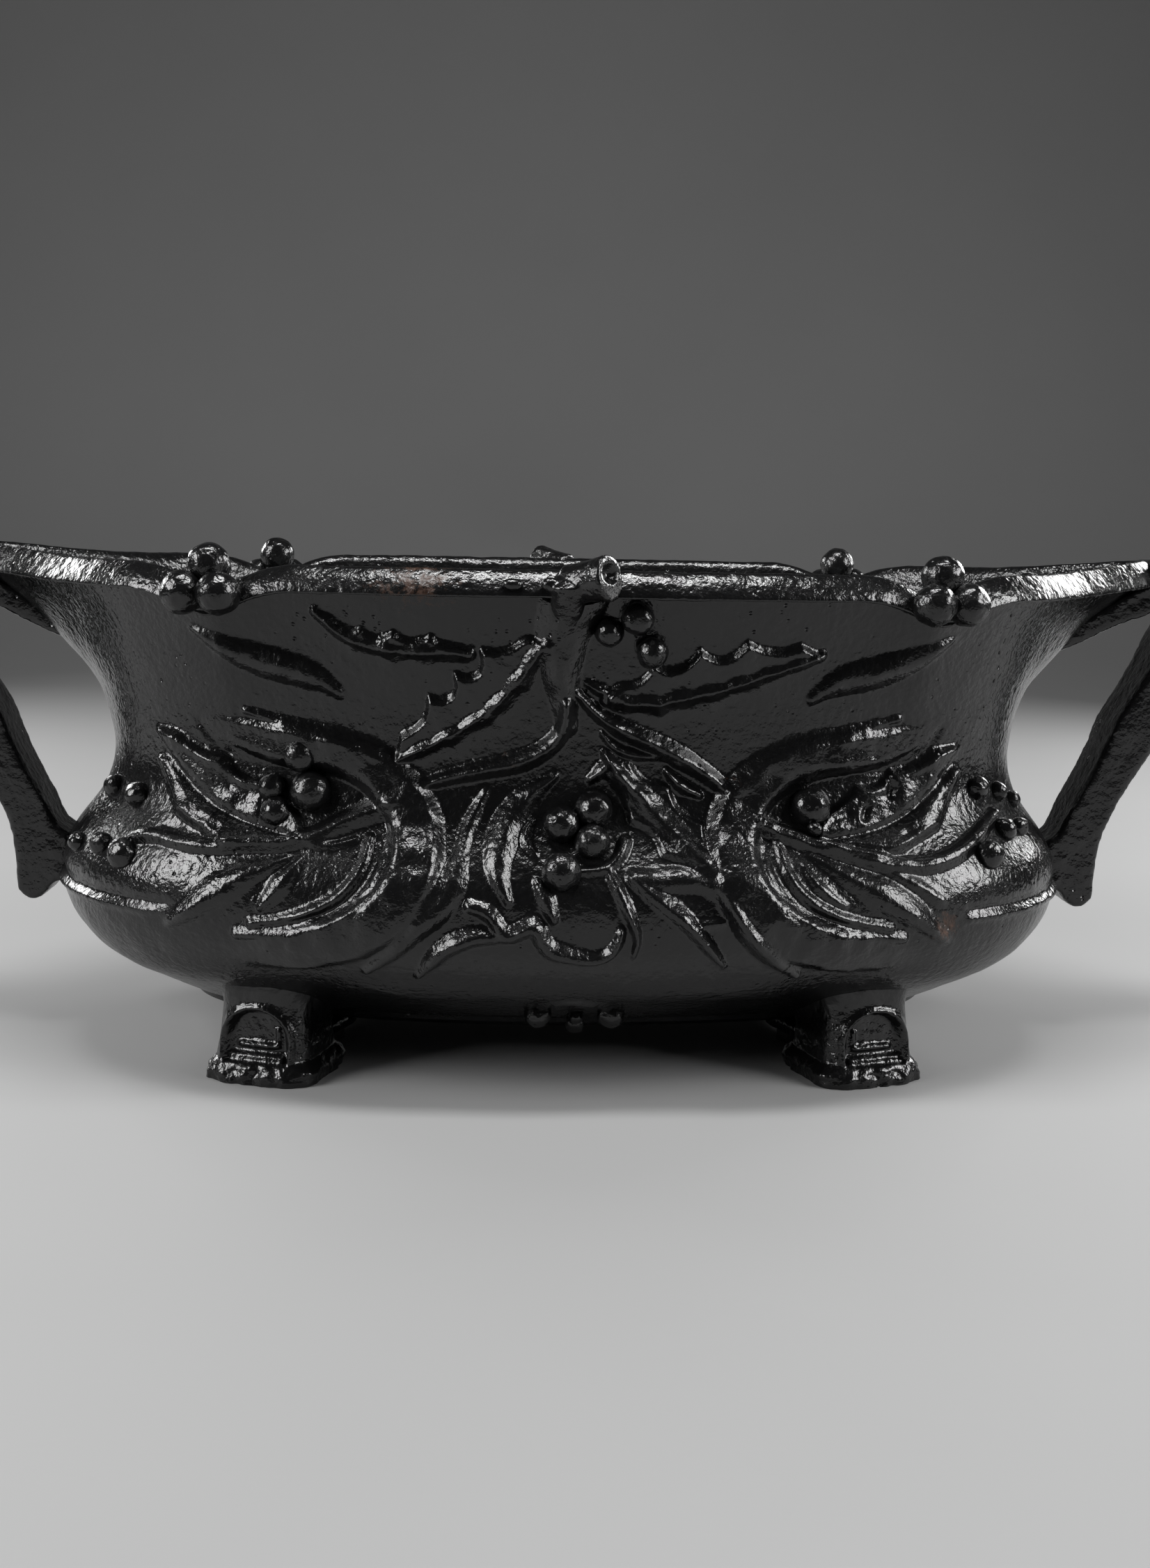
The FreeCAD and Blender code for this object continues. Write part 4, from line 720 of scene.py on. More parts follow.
spot = put(berry_tree, "GeometryNodeInputPosition").outputs[0]
ripple = put(
    berry_tree, "ShaderNodeTexNoise", {"Vector": spot, "Scale": waver_scale, "Detail": 1.0}
).outputs["Color"]
ripple = put(
    berry_tree, "ShaderNodeVectorMath", {0: ripple, 1: (0.5, 0.5, 0.5)}, operation="SUBTRACT"
).outputs[0]
ripple = put(
    berry_tree, "ShaderNodeVectorMath", {0: ripple, "Scale": taken["Unevenness"]}, operation="SCALE"
).outputs[0]
heap = put(berry_tree, "GeometryNodeSetPosition", {"Geometry": heap, "Offset": ripple}).outputs[0]
heap = put(berry_tree, "GeometryNodeSetShadeSmooth", {"Geometry": heap}).outputs[0]
heap = put(berry_tree, "GeometryNodeSetMaterial", {"Geometry": heap, "Material": taken["Paint"]}).outputs[0]
berry_tree.links.new(heap, given["Berries"])


def grown(name, tree, points, edges, attributes, settings):
    """A plain mesh piece from points put through a geometry tree."""
    seed = bpy.data.meshes.new(name + "_seed")
    seed.from_pydata(points, edges, [])
    for label, values in attributes.items():
        seed.attributes.new(label, "FLOAT", "POINT").data.foreach_set("value", values)
    grower = shown(name + "_seed", seed)
    nodes = grower.modifiers.new("grow", "NODES")
    nodes.node_group = tree
    for socket, value in settings.items():
        nodes[socket] = value
    evaluated = grower.evaluated_get(bpy.context.evaluated_depsgraph_get())
    mesh = bpy.data.meshes.new_from_object(evaluated)
    mesh.name = name
    bpy.data.objects.remove(grower)
    bpy.data.meshes.remove(seed)
    return shown(name, mesh)


for name, turn in (("front_berries", 1), ("back_berries", -1)):
    places = [tuple(spot * (turn, turn, 1) * MM) for spot, _ in beads]
    piece = grown(
        name, berry_tree, places, [], {"radius": [radius * MM for _, radius in beads]},
        {
            fineness.identifier: berry_fineness, waver.identifier: berry_waver,
            coat.identifier: black_iron,
        },
    )
    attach(piece, "planter")

# Rim knots and stalks
# A cut stem end lies over the middle of each long rim, and a stalk carries each heap of berries.
# They are lumps of the wall's own casting, rounded by the sand and thick with paint.


def tube_into(bm, path, radii, sides=20):
    """A closed tube along a path in millimetres, with its ends capped."""
    path = np.asarray(path, float)
    runs = np.gradient(path, axis=0)
    runs /= np.linalg.norm(runs, axis=1)[:, None]
    side = np.cross(runs[0], UP if abs(runs[0][2]) < 0.9 else np.array([1.0, 0, 0]))
    rings = []
    for centre, run, radius in zip(path, runs, radii):
        side = side - run * (side @ run)
        side /= np.linalg.norm(side)
        other = np.cross(run, side)
        rings.append([
            bm.verts.new(centre + radius * (math.cos(a) * side + math.sin(a) * other))
            for a in np.linspace(0, 2 * math.pi, sides, endpoint=False)
        ])
    for near, far in zip(rings, rings[1:]):
        for i in range(sides):
            j = (i + 1) % sides
            bm.faces.new((near[i], near[j], far[j], far[i]))
    bm.faces.new(rings[0][::-1])
    bm.faces.new(rings[-1])


def ball_into(bm, centre, radii):
    """An ellipsoid in millimetres."""
    place = Matrix.Translation(Vector(centre)) @ Matrix.Diagonal((*radii, 1.0))
    bmesh.ops.create_icosphere(bm, subdivisions=3, radius=1.0, matrix=place)


def cast_lump(name, bm, grain, rounds, roughness, seed):
    """Closed shapes run together into one rounded casting: its points and faces in millimetres."""
    bmesh.ops.recalc_face_normals(bm, faces=bm.faces)
    mesh = bpy.data.meshes.new(name)
    bm.to_mesh(mesh)
    bm.free()
    lump = shown(name, mesh)
    weld = lump.modifiers.new("weld", "REMESH")
    weld.mode, weld.voxel_size = "VOXEL", grain
    merged = bpy.data.meshes.new_from_object(lump.evaluated_get(bpy.context.evaluated_depsgraph_get()))
    bpy.data.objects.remove(lump)
    bpy.data.meshes.remove(mesh)
    work = bmesh.new()
    work.from_mesh(merged)
    bpy.data.meshes.remove(merged)
    for _ in range(rounds):
        bmesh.ops.smooth_vert(
            work, verts=work.verts, factor=0.5, use_axis_x=True, use_axis_y=True, use_axis_z=True
        )
    work.normal_update()
    points = np.array([v.co for v in work.verts])
    outward = np.array([v.normal for v in work.verts])
    faces = [[v.index for v in f.verts] for f in work.faces]
    work.free()
    lumpy = 0.6 * uneven(points, 7.0, seed) + 0.4 * uneven(points, 2.2, seed + 1)
    points += outward * (roughness * lumpy)[:, None]
    return points, faces


def smooth_piece(name, points, faces, finish):
    """A smooth piece from points in millimetres."""
    mesh = bpy.data.meshes.new(name)
    mesh.from_pydata((points * MM).tolist(), [], faces)
    mesh.polygons.foreach_set("use_smooth", [True] * len(faces))
    mesh.materials.append(finish)
    return shown(name, mesh)


stub_root, stub_end = np.array([-3.5, -82.5, 150.5]), np.array([7.5, -90.0, 152.6])
stub_way = (stub_end - stub_root) / np.linalg.norm(stub_end - stub_root)
stub_radii, trunk_radii = [5.2, 5.6, 6.4], [2.2, 3.6, 5.0, 5.2, 4.6]
stalk_drops, stalk_radii = (13, 6, 1), [5.0, 4.4, 3.8]
pith_depth, pith_half, pith_rise = 2.6, 3.2, 1.2
trunk_line = [
    on_face(-5, 126) + (0, 2.6, 0), on_face(-4.2, 137) + (0, 0.8, 0), on_face(-3.5, 145) + (0, -1.0, 0),
    (-3.5, -86.5, 150.0), stub_root,
]
lump = bmesh.new()
tube_into(lump, [stub_root, (stub_root + stub_end) / 2, stub_end], stub_radii, sides=32)
tube_into(lump, trunk_line, trunk_radii)
ball_into(lump, (-18.5, -86.0, 150.3), (3.2, 2.2, 1.8))
ball_into(lump, (-8.5, -86.5, 150.5), (2.6, 2.2, 2.0))
for side in (-1, 1):
    radial, _ = joint_ways(side)
    root = np.array([side * end_centre, 0, rim_height])
    root = root + radial * (end_radius + joint_edge - cluster_top_inset)
    tube_into(lump, [root - UP * drop for drop in stalk_drops], stalk_radii)
knot_points, knot_faces = cast_lump("rim_knot", lump, grain=0.6, rounds=3, roughness=0.3, seed=11)
from_end = knot_points - stub_end
ahead_of_cut = from_end @ stub_way
off_pith = from_end - ahead_of_cut[:, None] * stub_way - (0, 0, pith_rise)
off_pith = np.linalg.norm(off_pith * (1.0, 1.0, 1.5), axis=1)
pith = pith_depth * np.exp(-((off_pith / pith_half) ** 4)) * ease((ahead_of_cut + 1.5) / 1.2)
knot_points -= stub_way * pith[:, None]
for name, turn in (("front_rim_knot", 1), ("back_rim_knot", -1)):
    piece = smooth_piece(name, knot_points * (turn, turn, 1), knot_faces, black_iron)
    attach(piece, "planter")

# Joint lugs
# Ears inside the bowl at each upright joint, two on each casting, with a screw and nut through each pair.
# Cast with the walls, and as rough as they are.
lug_heights, lug_thickness, lug_reach, lug_height = (58.0, 109.5), 7.0, 13.0, 13.0
lug_root, lug_gap, lug_sink = 1.5, 0.1, 0.7 * wall


def box_into(bm, corner, edges):
    """A box from a corner and its three edges."""
    corners = {}
    for i in range(8):
        spot = np.asarray(corner, float) + sum(e * ((i >> k) & 1) for k, e in enumerate(edges))
        corners[i] = bm.verts.new(spot)
    for ids in ((0, 2, 3, 1), (4, 5, 7, 6), (0, 1, 5, 4), (2, 6, 7, 3), (0, 4, 6, 2), (1, 3, 7, 5)):
        bm.faces.new([corners[i] for i in ids])


lump = bmesh.new()
joint_line = face_line(*long_rim(joint_angle))
for side in (-1, 1):
    for face in (-1, 1):
        radial, inward = joint_ways(side, face)
        for height in lug_heights:
            outer = np.interp(height, joint_line[:, 1], joint_line[:, 0]) - lug_sink
            root = np.array([side * end_centre, 0, height - lug_height / 2]) + radial * (end_radius + outer)
            for way in (-1, 1):
                across_lug = inward * way * (lug_thickness - lug_gap)
                edges = (-radial * (lug_reach + lug_root), across_lug, UP * lug_height)
                box_into(lump, root + inward * way * lug_gap, edges)
lug_points, lug_faces = cast_lump("joint_lugs", lump, grain=0.9, rounds=2, roughness=0.2, seed=15)
piece = smooth_piece("joint_lugs", lug_points, lug_faces, black_iron)
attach(piece, "planter")

# Feet
# Four stout cast feet, a rough welt below a tapered shaft with an arched panel on its outer face.
# Each is held by one screw up through a tongue under the bowl's ledge.
foot_x, foot_y, foot_turn = 87.0, 46.0, math.radians(18.0)
sole, ankle_width, ankle_depth, ankle_height = 35.0, 25.0, 26.0, 36.0
welt_height, welt_step, welt_lap, foot_corner, ankle_corner = 9.0, 2.6, 0.6, 7.0, 9.0
sole_round, sole_round_height, shoulder_start, shoulder_run = 2.2, 3.0, 5.6, 4.0
ankle_overlap, ankle_flare, flare_height = 1.2, 2.2, 7.0
arch_half, arch_spring, arch_depth, arch_frame = 10.0, 15.0, 3.0, 1.1
sill_rise, sill_height, bar_rise, bar_height, bar_half = 2.2, 10.4, 1.6, 14.2, 7
spur_rise, spur_x, spur_low, spur_high = 1.2, -6.5, 14, 20
tongue_low, tongue_height, tongue_half = 8.9, 4.4, 9.6
screw_x, screw_inset = 75.0, 46.0


def rounded_ring(width, depth, corner, count):
    """Points round a rounded rectangle, evenly spaced along it."""
    x, y = width / 2 - corner, depth / 2 - corner
    run = []
    for centre, start in (((x, -y), -0.5), ((x, y), 0.0), ((-x, y), 0.5), ((-x, -y), 1.0)):
        for a in np.linspace(start * math.pi, (start + 0.5) * math.pi, 12):
            run.append((centre[0] + corner * math.cos(a), centre[1] + corner * math.sin(a)))
    run = np.array(run + run[:1])
    along = np.r_[0, np.cumsum(np.linalg.norm(np.diff(run, axis=0), axis=1))]
    places = np.linspace(0, along[-1], count, endpoint=False)
    return np.stack([np.interp(places, along, run[:, 0]), np.interp(places, along, run[:, 1])], axis=1)


underside = face_line(*long_rim(0.0))[: len(under_rows)]


def underside_height(x, y):
    """Height of the bowl's underside over a place on the floor."""
    x, y = np.abs(x), -np.abs(y)
    off_front = np.hypot(x, y - front_centre) - front_radius
    off_end = np.hypot(x - end_centre, y) - end_radius
    on_end = np.arctan2(x, front_centre - y) > joint_angle
    return np.interp(np.where(on_end, off_end, off_front), underside[:, 0], underside[:, 1])


def foot_shell():
    """The front right foot as a grid of rings, with its arched panel, bars and rough welt."""
    count = 168
    cosine, sine = math.cos(foot_turn), math.sin(foot_turn)
    turn = np.array([[cosine, -sine], [sine, cosine]])

    def placed(flat):
        return flat @ turn.T + (foot_x, -foot_y)

    rings = []
    for z in np.r_[0.0, 0.25, 0.6, np.linspace(1.1, welt_height + welt_lap, 18)]:
        step = sole_round * max(0.0, 1 - z / sole_round_height) ** 2
        step += welt_step * max(0.0, (z - shoulder_start) / shoulder_run) ** 2
        width = sole - 2 * step
        rings.append((rounded_ring(width, width, ankle_corner - step, count), np.full(count, z)))
    wide = rounded_ring(sole - 2 * welt_step, sole - 2 * welt_step, foot_corner, count)
    slim = rounded_ring(ankle_width, ankle_depth, ankle_corner, count)
    for share in np.linspace(0, 1, 44)[1:]:
        flat = wide
        for _ in range(5):
            high = underside_height(*placed(flat).T) + ankle_overlap
            height = welt_height + welt_lap + (high - welt_height - welt_lap) * share
            k = ((height - welt_height) / (ankle_height - welt_height))[:, None]
            flare = ankle_flare * np.maximum(0.0, 1 - (high - height) / flare_height)[:, None] ** 2
            flat = wide * (1 - k) + slim * k
            flat = flat * (1 + flare / np.linalg.norm(flat, axis=1)[:, None])
        rings.append((flat, height))
    grid = np.array([np.column_stack([flat, height]) for flat, height in rings])
    across_run = np.roll(grid, -1, 1) - np.roll(grid, 1, 1)
    up_run = np.gradient(grid, axis=0)
    outward = np.cross(across_run, up_run)
    outward /= np.maximum(np.linalg.norm(outward, axis=2), 1e-9)[..., None]
    u, z = grid[..., 0], grid[..., 2]
    facing = ease((-outward[..., 1] - 0.6) / 0.25)
    inside = np.where(z < arch_spring, arch_half - np.abs(u), arch_half - np.hypot(u, z - arch_spring))
    above = ease((z - welt_height - 0.2) / 0.8)
    push = -arch_depth * ease(inside / 1.2 + 0.3) * above
    push += arch_frame * np.exp(-(((inside + 0.6) / 1.1) ** 2)) * above
    bar = ease((inside - 0.5) / 1.2)
    push += sill_rise * np.exp(-(((z - sill_height) / 1.5) ** 4)) * bar * above
    push += bar_rise * np.exp(-(((z - bar_height) / 0.8) ** 2)) * bar * ease((bar_half - np.abs(u)) / 2)
    push += spur_rise * np.exp(-(((u - spur_x) / 0.9) ** 2)) * bar * (z > spur_low) * (z < spur_high)
    grid = grid + outward * (push * facing)[..., None]
    flat = grid.reshape(-1, 3)
    rough = ease((welt_height + 0.5 - flat[:, 2]) / 1.5)
    wobble = (0.2 + 0.7 * rough) * uneven(flat, 4.0, 21) + (0.08 + 0.4 * rough) * uneven(flat, 1.6, 22)
    flat = flat + outward.reshape(-1, 3) * (wobble * (flat[:, 2] > 0.8))[:, None]
    flat[:, :2] = placed(flat[:, :2])
    index = np.arange(len(flat)).reshape(grid.shape[:2])
    near, far = index[:-1], index[1:]
    quads = np.stack([near, np.roll(near, -1, 1), np.roll(far, -1, 1), far], axis=2).reshape(-1, 4)
    return flat, quads.tolist() + [index[0][::-1].tolist(), index[-1].tolist()]


foot_points, foot_faces = foot_shell()
screw_y = front_centre - math.sqrt((front_radius - screw_inset) ** 2 - screw_x**2)
way = np.array([screw_x - foot_x, screw_y + foot_y, 0])
way /= np.linalg.norm(way)
side = np.cross(UP, way) * tongue_half
start, end = np.array([foot_x, -foot_y, tongue_low]), np.array([screw_x, screw_y, tongue_low])
tongue = bmesh.new()
box_into(tongue, start - side, (end - start, 2 * side, UP * tongue_height))
eye_line = [(screw_x, screw_y, z) for z in (tongue_low, 11, tongue_low + tongue_height)]
tube_into(tongue, eye_line, [tongue_half] * 3, sides=32)
tongue_points, tongue_faces = cast_lump("tongue", tongue, grain=0.8, rounds=2, roughness=0.15, seed=25)
first = len(foot_points)
foot_points = np.vstack([foot_points, tongue_points])
foot_faces = foot_faces + [[i + first for i in f] for f in tongue_faces]
for node, flip in (
    ("front_right_foot", (1, 1, 1)), ("front_left_foot", (-1, 1, 1)),
    ("back_left_foot", (-1, -1, 1)), ("back_right_foot", (1, -1, 1)),
):
    faces = foot_faces if flip[0] * flip[1] > 0 else [f[::-1] for f in foot_faces]
    piece = smooth_piece(node + "_casting", foot_points * flip, faces, black_iron)
    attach(piece, "planter")
    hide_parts(node)

# Handles
# A broad flat strap leaves each pointed lip, turns down and comes in to a boss on the belly.
# One iron casting each, held by two screws from inside the bowl and painted with it.
handle_reach, handle_low, handle_high = 73.5, 45.5, 158.6
handle_width, handle_foot_width = 24.0, 16.0
handle_outer = [
    (0.88, 1.0), (0.97, 0.975), (1.0, 0.93), (0.945, 0.81), (0.83, 0.65), (0.67, 0.48), (0.56, 0.365),
    (0.48, 0.26), (0.44, 0.16), (0.435, 0.065), (0.415, 0.015), (0.37, 0.0), (0.32, 0.015), (0.28, 0.05),
]
handle_boss = [(0.2, 0.06), (0.2, 0.19)]
handle_inner = [
    (0.26, 0.22), (0.33, 0.32), (0.41, 0.425), (0.49, 0.555), (0.565, 0.64), (0.65, 0.75), (0.71, 0.83),
    (0.722, 0.862), (0.7, 0.877), (0.64, 0.868), (0.585, 0.85), (0.465, 0.815), (0.37, 0.78), (0.3, 0.757),
    (0.22, 0.735),
]
handle_root = [(0.2, 0.76), (0.29, 0.815), (0.57, 0.935), (0.62, 1.0)]
handle_rib = [(0.42, 0.86), (0.58, 0.925), (0.74, 0.97), (0.9, 0.965), (0.955, 0.9)]
handle_bumps, bump_radii = [(0.27, 0.145), (0.255, 0.08)], (2.0, 1.6, 1.8)
rib_inset, bump_inset, rib_points = 0.4, 0.8, 30


def handle_spot(pair):
    """Width and height of a place that is given as shares of the handle's reach and height."""
    return neck_half_length + handle_reach * pair[0], handle_low + (handle_high - handle_low) * pair[1]


def handle_half(x, z):
    """Half the strap's width: it narrows to its foot, and along the arm to its root in the wall."""
    along = (x - neck_half_length) / handle_reach
    up = np.clip((z - handle_low) / (handle_high - handle_low), 0, 1)
    half = (handle_foot_width + (handle_width - handle_foot_width) * up) / 2
    return half * (1 - ease((up - 0.66) / 0.1) * 0.6 * (1 - ease((along - 0.25) / 0.45)))


outline = np.vstack([
    smooth_through([handle_spot(p) for p in handle_outer], np.linspace(0, 1, 90)),
    [handle_spot(p) for p in handle_boss],
    smooth_through([handle_spot(p) for p in handle_inner], np.linspace(0, 1, 90)),
    [handle_spot(p) for p in handle_root],
])
lump = bmesh.new()
faces = []
for side in (-1, 1):
    faces.append([lump.verts.new((x, side * handle_half(x, z), z)) for x, z in outline])
count = len(outline)
for i in range(count):
    j = (i + 1) % count
    lump.faces.new((faces[0][i], faces[0][j], faces[1][j], faces[1][i]))
for ring in faces:
    ring_edges = [lump.edges.get((ring[i], ring[(i + 1) % count])) for i in range(count)]
    bmesh.ops.triangle_fill(lump, edges=ring_edges, use_beauty=True)
rib = smooth_through([handle_spot(p) for p in handle_rib], np.linspace(0, 1, rib_points))
for side in (-1, 1):
    rib_line = [(x, side * (handle_half(x, z) - rib_inset), z) for x, z in rib]
    tube_into(lump, rib_line, np.linspace(1.0, 1.5, rib_points), sides=12)
    for x, z in [handle_spot(p) for p in handle_bumps]:
        ball_into(lump, (x, side * (handle_half(x, z) - bump_inset), z), bump_radii)
handle_points, handle_faces = cast_lump("handle", lump, grain=0.9, rounds=5, roughness=0.4, seed=31)
for node, turn in (("right_handle", 1), ("left_handle", -1)):
    piece = smooth_piece(node + "_strap", handle_points * (turn, turn, 1), handle_faces, black_iron)
    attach(piece, "planter")
    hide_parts(node)

# Base plate and fasteners
# An oval iron plate lies on the ledges of the walls and closes the bottom of the bowl.
# Slotted steel screws and hexagon nuts hold the castings together, darkened by oil and age.


def dress(node, finish):
    """A finish on a solid that shows as it is."""
    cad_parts[node].data.materials.clear()
    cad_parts[node].data.materials.append(finish)


dress("base_plate", black_iron)

dark_steel, tree, shader = new_finish("oiled_steel")
flesh = put(tree, "ShaderNodeGroup", {"Grain Size": 2.4}, node_tree=skin)
flakes = put(tree, "ShaderNodeGroup", {
    "Mask": spread(tree, flesh.outputs["Dullness"], 0.3, 1.0, 0.0, 0.5),
    "Paint": (0.16, 0.155, 0.15, 1), "Rust": (0.14, 0.07, 0.035, 1),
}, node_tree=bloom)
tree.links.new(flakes.outputs["Colour"], shader.inputs["Base Color"])
tree.links.new(spread(tree, flesh.outputs["Dullness"], 0.0, 1.0, 0.32, 0.6), shader.inputs["Roughness"])
lift = put(tree, "ShaderNodeBump", {
    "Strength": 0.25, "Distance": 0.0002, "Height": flesh.outputs["Height"],
})
tree.links.new(lift.outputs["Normal"], shader.inputs["Normal"])
shader.inputs["Metallic"].default_value = 0.9
for node in ("seam_screws", "seam_nuts", "foot_screws", "foot_nuts", "handle_screws"):
    dress(node, dark_steel)

# Liner
# A loose tray of zinc sheet with sloping sides and a wired bead, soldered at its floor and at one end.
# It stands on the base plate and lifts straight out by its two bails.
liner_floor, liner_top, liner_floor_inset, liner_top_inset = 23.8, 114.0, 41.0, 22.0
sheet, bead_radius, floor_lap = 1.0, 2.0, 14
liner_lean = (liner_floor_inset - liner_top_inset) / (liner_top - liner_floor)
dent_depth, dent_size, dent_low, dent_high, dent_fade = 0.28, 26.0, 30, 110, 10


def oval_spot(inset, share):
    """A place round an oval drawn in from the neck line, by its share of a turn from the right end."""
    arcs = [(end_radius - inset) * 2 * end_span, (front_radius - inset) * 2 * joint_angle]
    length = 2 * sum(arcs)
    run = (share % 1.0) * length + arcs[0] / 2
    run %= length
    half = run >= length / 2
    run -= length / 2 * half
    if run < arcs[0]:
        turn = run / arcs[0] * 2 * end_span - end_span
        x, y = end_centre + (end_radius - inset) * math.cos(turn), (end_radius - inset) * math.sin(turn)
    else:
        turn = joint_angle - (run - arcs[0]) / arcs[1] * 2 * joint_angle
        reach = front_radius - inset
        x, y = reach * math.sin(turn), reach * math.cos(turn) - front_centre
    return (-x, -y) if half else (x, y)


def liner_side(inset, heights):
    """One face of the sloping sheet, as insets and heights."""
    return [(inset + liner_lean * (liner_top - z), z) for z in heights]


profile = [
    (liner_floor_inset + floor_lap, liner_floor), (liner_floor_inset + 5, liner_floor),
    (liner_floor_inset + 1.2, liner_floor + 0.1), (liner_floor_inset, liner_floor + 1.0),
]
profile += liner_side(liner_top_inset, np.linspace(liner_floor + 4, liner_top - 2.4, 26))
bead_inset = liner_top_inset + sheet / 2
for a in np.linspace(-0.45 * math.pi, 1.2 * math.pi, 14):
    profile.append((bead_inset - bead_radius * math.cos(a), liner_top + bead_radius * math.sin(a)))
profile += liner_side(liner_top_inset + sheet, np.linspace(liner_top - 2.2, liner_floor + 5, 26))
profile += [
    (liner_floor_inset + 1.6, liner_floor + 2.0), (liner_floor_inset + 4, liner_floor + sheet),
    (liner_floor_inset + floor_lap, liner_floor + sheet),
]
columns = 260
grid = np.array([[(*oval_spot(inset, c / columns), z) for inset, z in profile] for c in range(columns)])
flat = grid.reshape(-1, 3)
radial = flat * (0.6, 1.0, 0)
radial /= np.linalg.norm(radial, axis=1)[:, None]
sides = ease((flat[:, 2] - dent_low) / dent_fade) * ease((dent_high - flat[:, 2]) / dent_fade)
dents = dent_depth * uneven(flat * (1, 1, 0.7), dent_size, 41)
flat = flat + radial * (sides * dents)[:, None]
index = np.arange(len(flat)).reshape(grid.shape[:2])
near, far = index, np.roll(index, -1, 0)
quads = np.stack([near[:, :-1], far[:, :-1], far[:, 1:], near[:, 1:]], axis=2).reshape(-1, 4).tolist()
faces = quads + [index[::-1, 0].tolist(), index[:, -1].tolist()]

zinc_sheet, tree, shader = new_finish("zinc_sheet")
place = put(tree, "ShaderNodeTexCoord").outputs["Object"]
spangle = put(tree, "ShaderNodeTexVoronoi", {"Vector": place, "Scale": 110.0}).outputs["Color"]
spangle = put(tree, "ShaderNodeSeparateColor", {0: spangle}).outputs[0]
stain = soft_noise(tree, place, 24.0, 5.0, 0.6)
chalk = math_node(tree, "MULTIPLY_ADD", spangle, 0.3, math_node(tree, "MULTIPLY", stain, 0.8))
tone = blend(tree, spread(tree, chalk, 0.3, 0.8), (0.30, 0.31, 0.32, 1), (0.47, 0.48, 0.48, 1))
tree.links.new(tone, shader.inputs["Base Color"])
tree.links.new(spread(tree, chalk, 0.3, 0.8, 0.34, 0.6), shader.inputs["Roughness"])
lift = put(tree, "ShaderNodeBump", {"Strength": 0.2, "Distance": 0.0003, "Height": stain})
tree.links.new(lift.outputs["Normal"], shader.inputs["Normal"])
shader.inputs["Metallic"].default_value = 0.85
piece = smooth_piece("zinc_liner", flat, faces, zinc_sheet)
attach(piece, "liner")
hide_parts("liner")
dress("liner_staples", zinc_sheet)

# Bails
# Two closed loops of brass wire to lift the liner by, each free to fold in a staple on the liner's end.
# The wire is bent round a former and brazed where its ends meet.
bail_wire, bail_width, bail_drop, bail_corner = 1.5, 28.0, 20.0, 5.0
bail_pivot = np.array([109.69, 0.0, 100.0])
wire_tree = bpy.data.node_groups.new("bent_wire", "GeometryNodeTree")
wire_tree.interface.new_socket("Path", in_out="INPUT", socket_type="NodeSocketGeometry")
thickness = wire_tree.interface.new_socket("Radius", in_out="INPUT", socket_type="NodeSocketFloat")
metal = wire_tree.interface.new_socket("Metal", in_out="INPUT", socket_type="NodeSocketMaterial")
wire_tree.interface.new_socket("Wire", in_out="OUTPUT", socket_type="NodeSocketGeometry")
taken = wire_tree.nodes.new("NodeGroupInput").outputs
given = wire_tree.nodes.new("NodeGroupOutput").inputs
line = put(wire_tree, "GeometryNodeMeshToCurve", {"Mesh": taken["Path"]}).outputs[0]
ring = put(wire_tree, "GeometryNodeCurvePrimitiveCircle", {
    "Resolution": 20, "Radius": taken["Radius"],
}, mode="RADIUS").outputs[0]
wire = put(wire_tree, "GeometryNodeCurveToMesh", {"Curve": line, "Profile Curve": ring}).outputs[0]
wire = put(wire_tree, "GeometryNodeSetShadeSmooth", {"Geometry": wire}).outputs[0]
wire = put(wire_tree, "GeometryNodeRealizeInstances", {"Geometry": wire}).outputs[0]
wire = put(wire_tree, "GeometryNodeSetMaterial", {"Geometry": wire, "Material": taken["Metal"]}).outputs[0]
wire_tree.links.new(wire, given["Wire"])

brass_wire, tree, shader = new_finish("brass_wire")
place = put(tree, "ShaderNodeTexCoord").outputs["Object"]
tarnish = soft_noise(tree, place, 180.0, 4.0, 0.6)
tone = blend(tree, spread(tree, tarnish, 0.35, 0.65), (0.52, 0.36, 0.13, 1), (0.22, 0.15, 0.07, 1))
tree.links.new(tone, shader.inputs["Base Color"])
tree.links.new(spread(tree, tarnish, 0.35, 0.65, 0.24, 0.5), shader.inputs["Roughness"])
shader.inputs["Metallic"].default_value = 1.0

loop = rounded_ring(bail_width, bail_drop, bail_corner, 120)
lean = math.atan(liner_lean)
for node, body, turn in (("right_bail", "right_bail", 1), ("left_bail", "left_bail", -1)):
    path = []
    for across_width, along_drop in loop:
        drop = bail_drop / 2 - along_drop
        spot = bail_pivot + np.array([-math.sin(lean) * drop, across_width, -math.cos(lean) * drop])
        path.append(tuple(spot * (turn, turn, 1) * MM))
    edges = [(i, (i + 1) % len(path)) for i in range(len(path))]
    piece = grown(
        node + "_wire", wire_tree, path, edges, {},
        {thickness.identifier: bail_wire * MM, metal.identifier: brass_wire},
    )
    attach(piece, body)
    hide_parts(node)

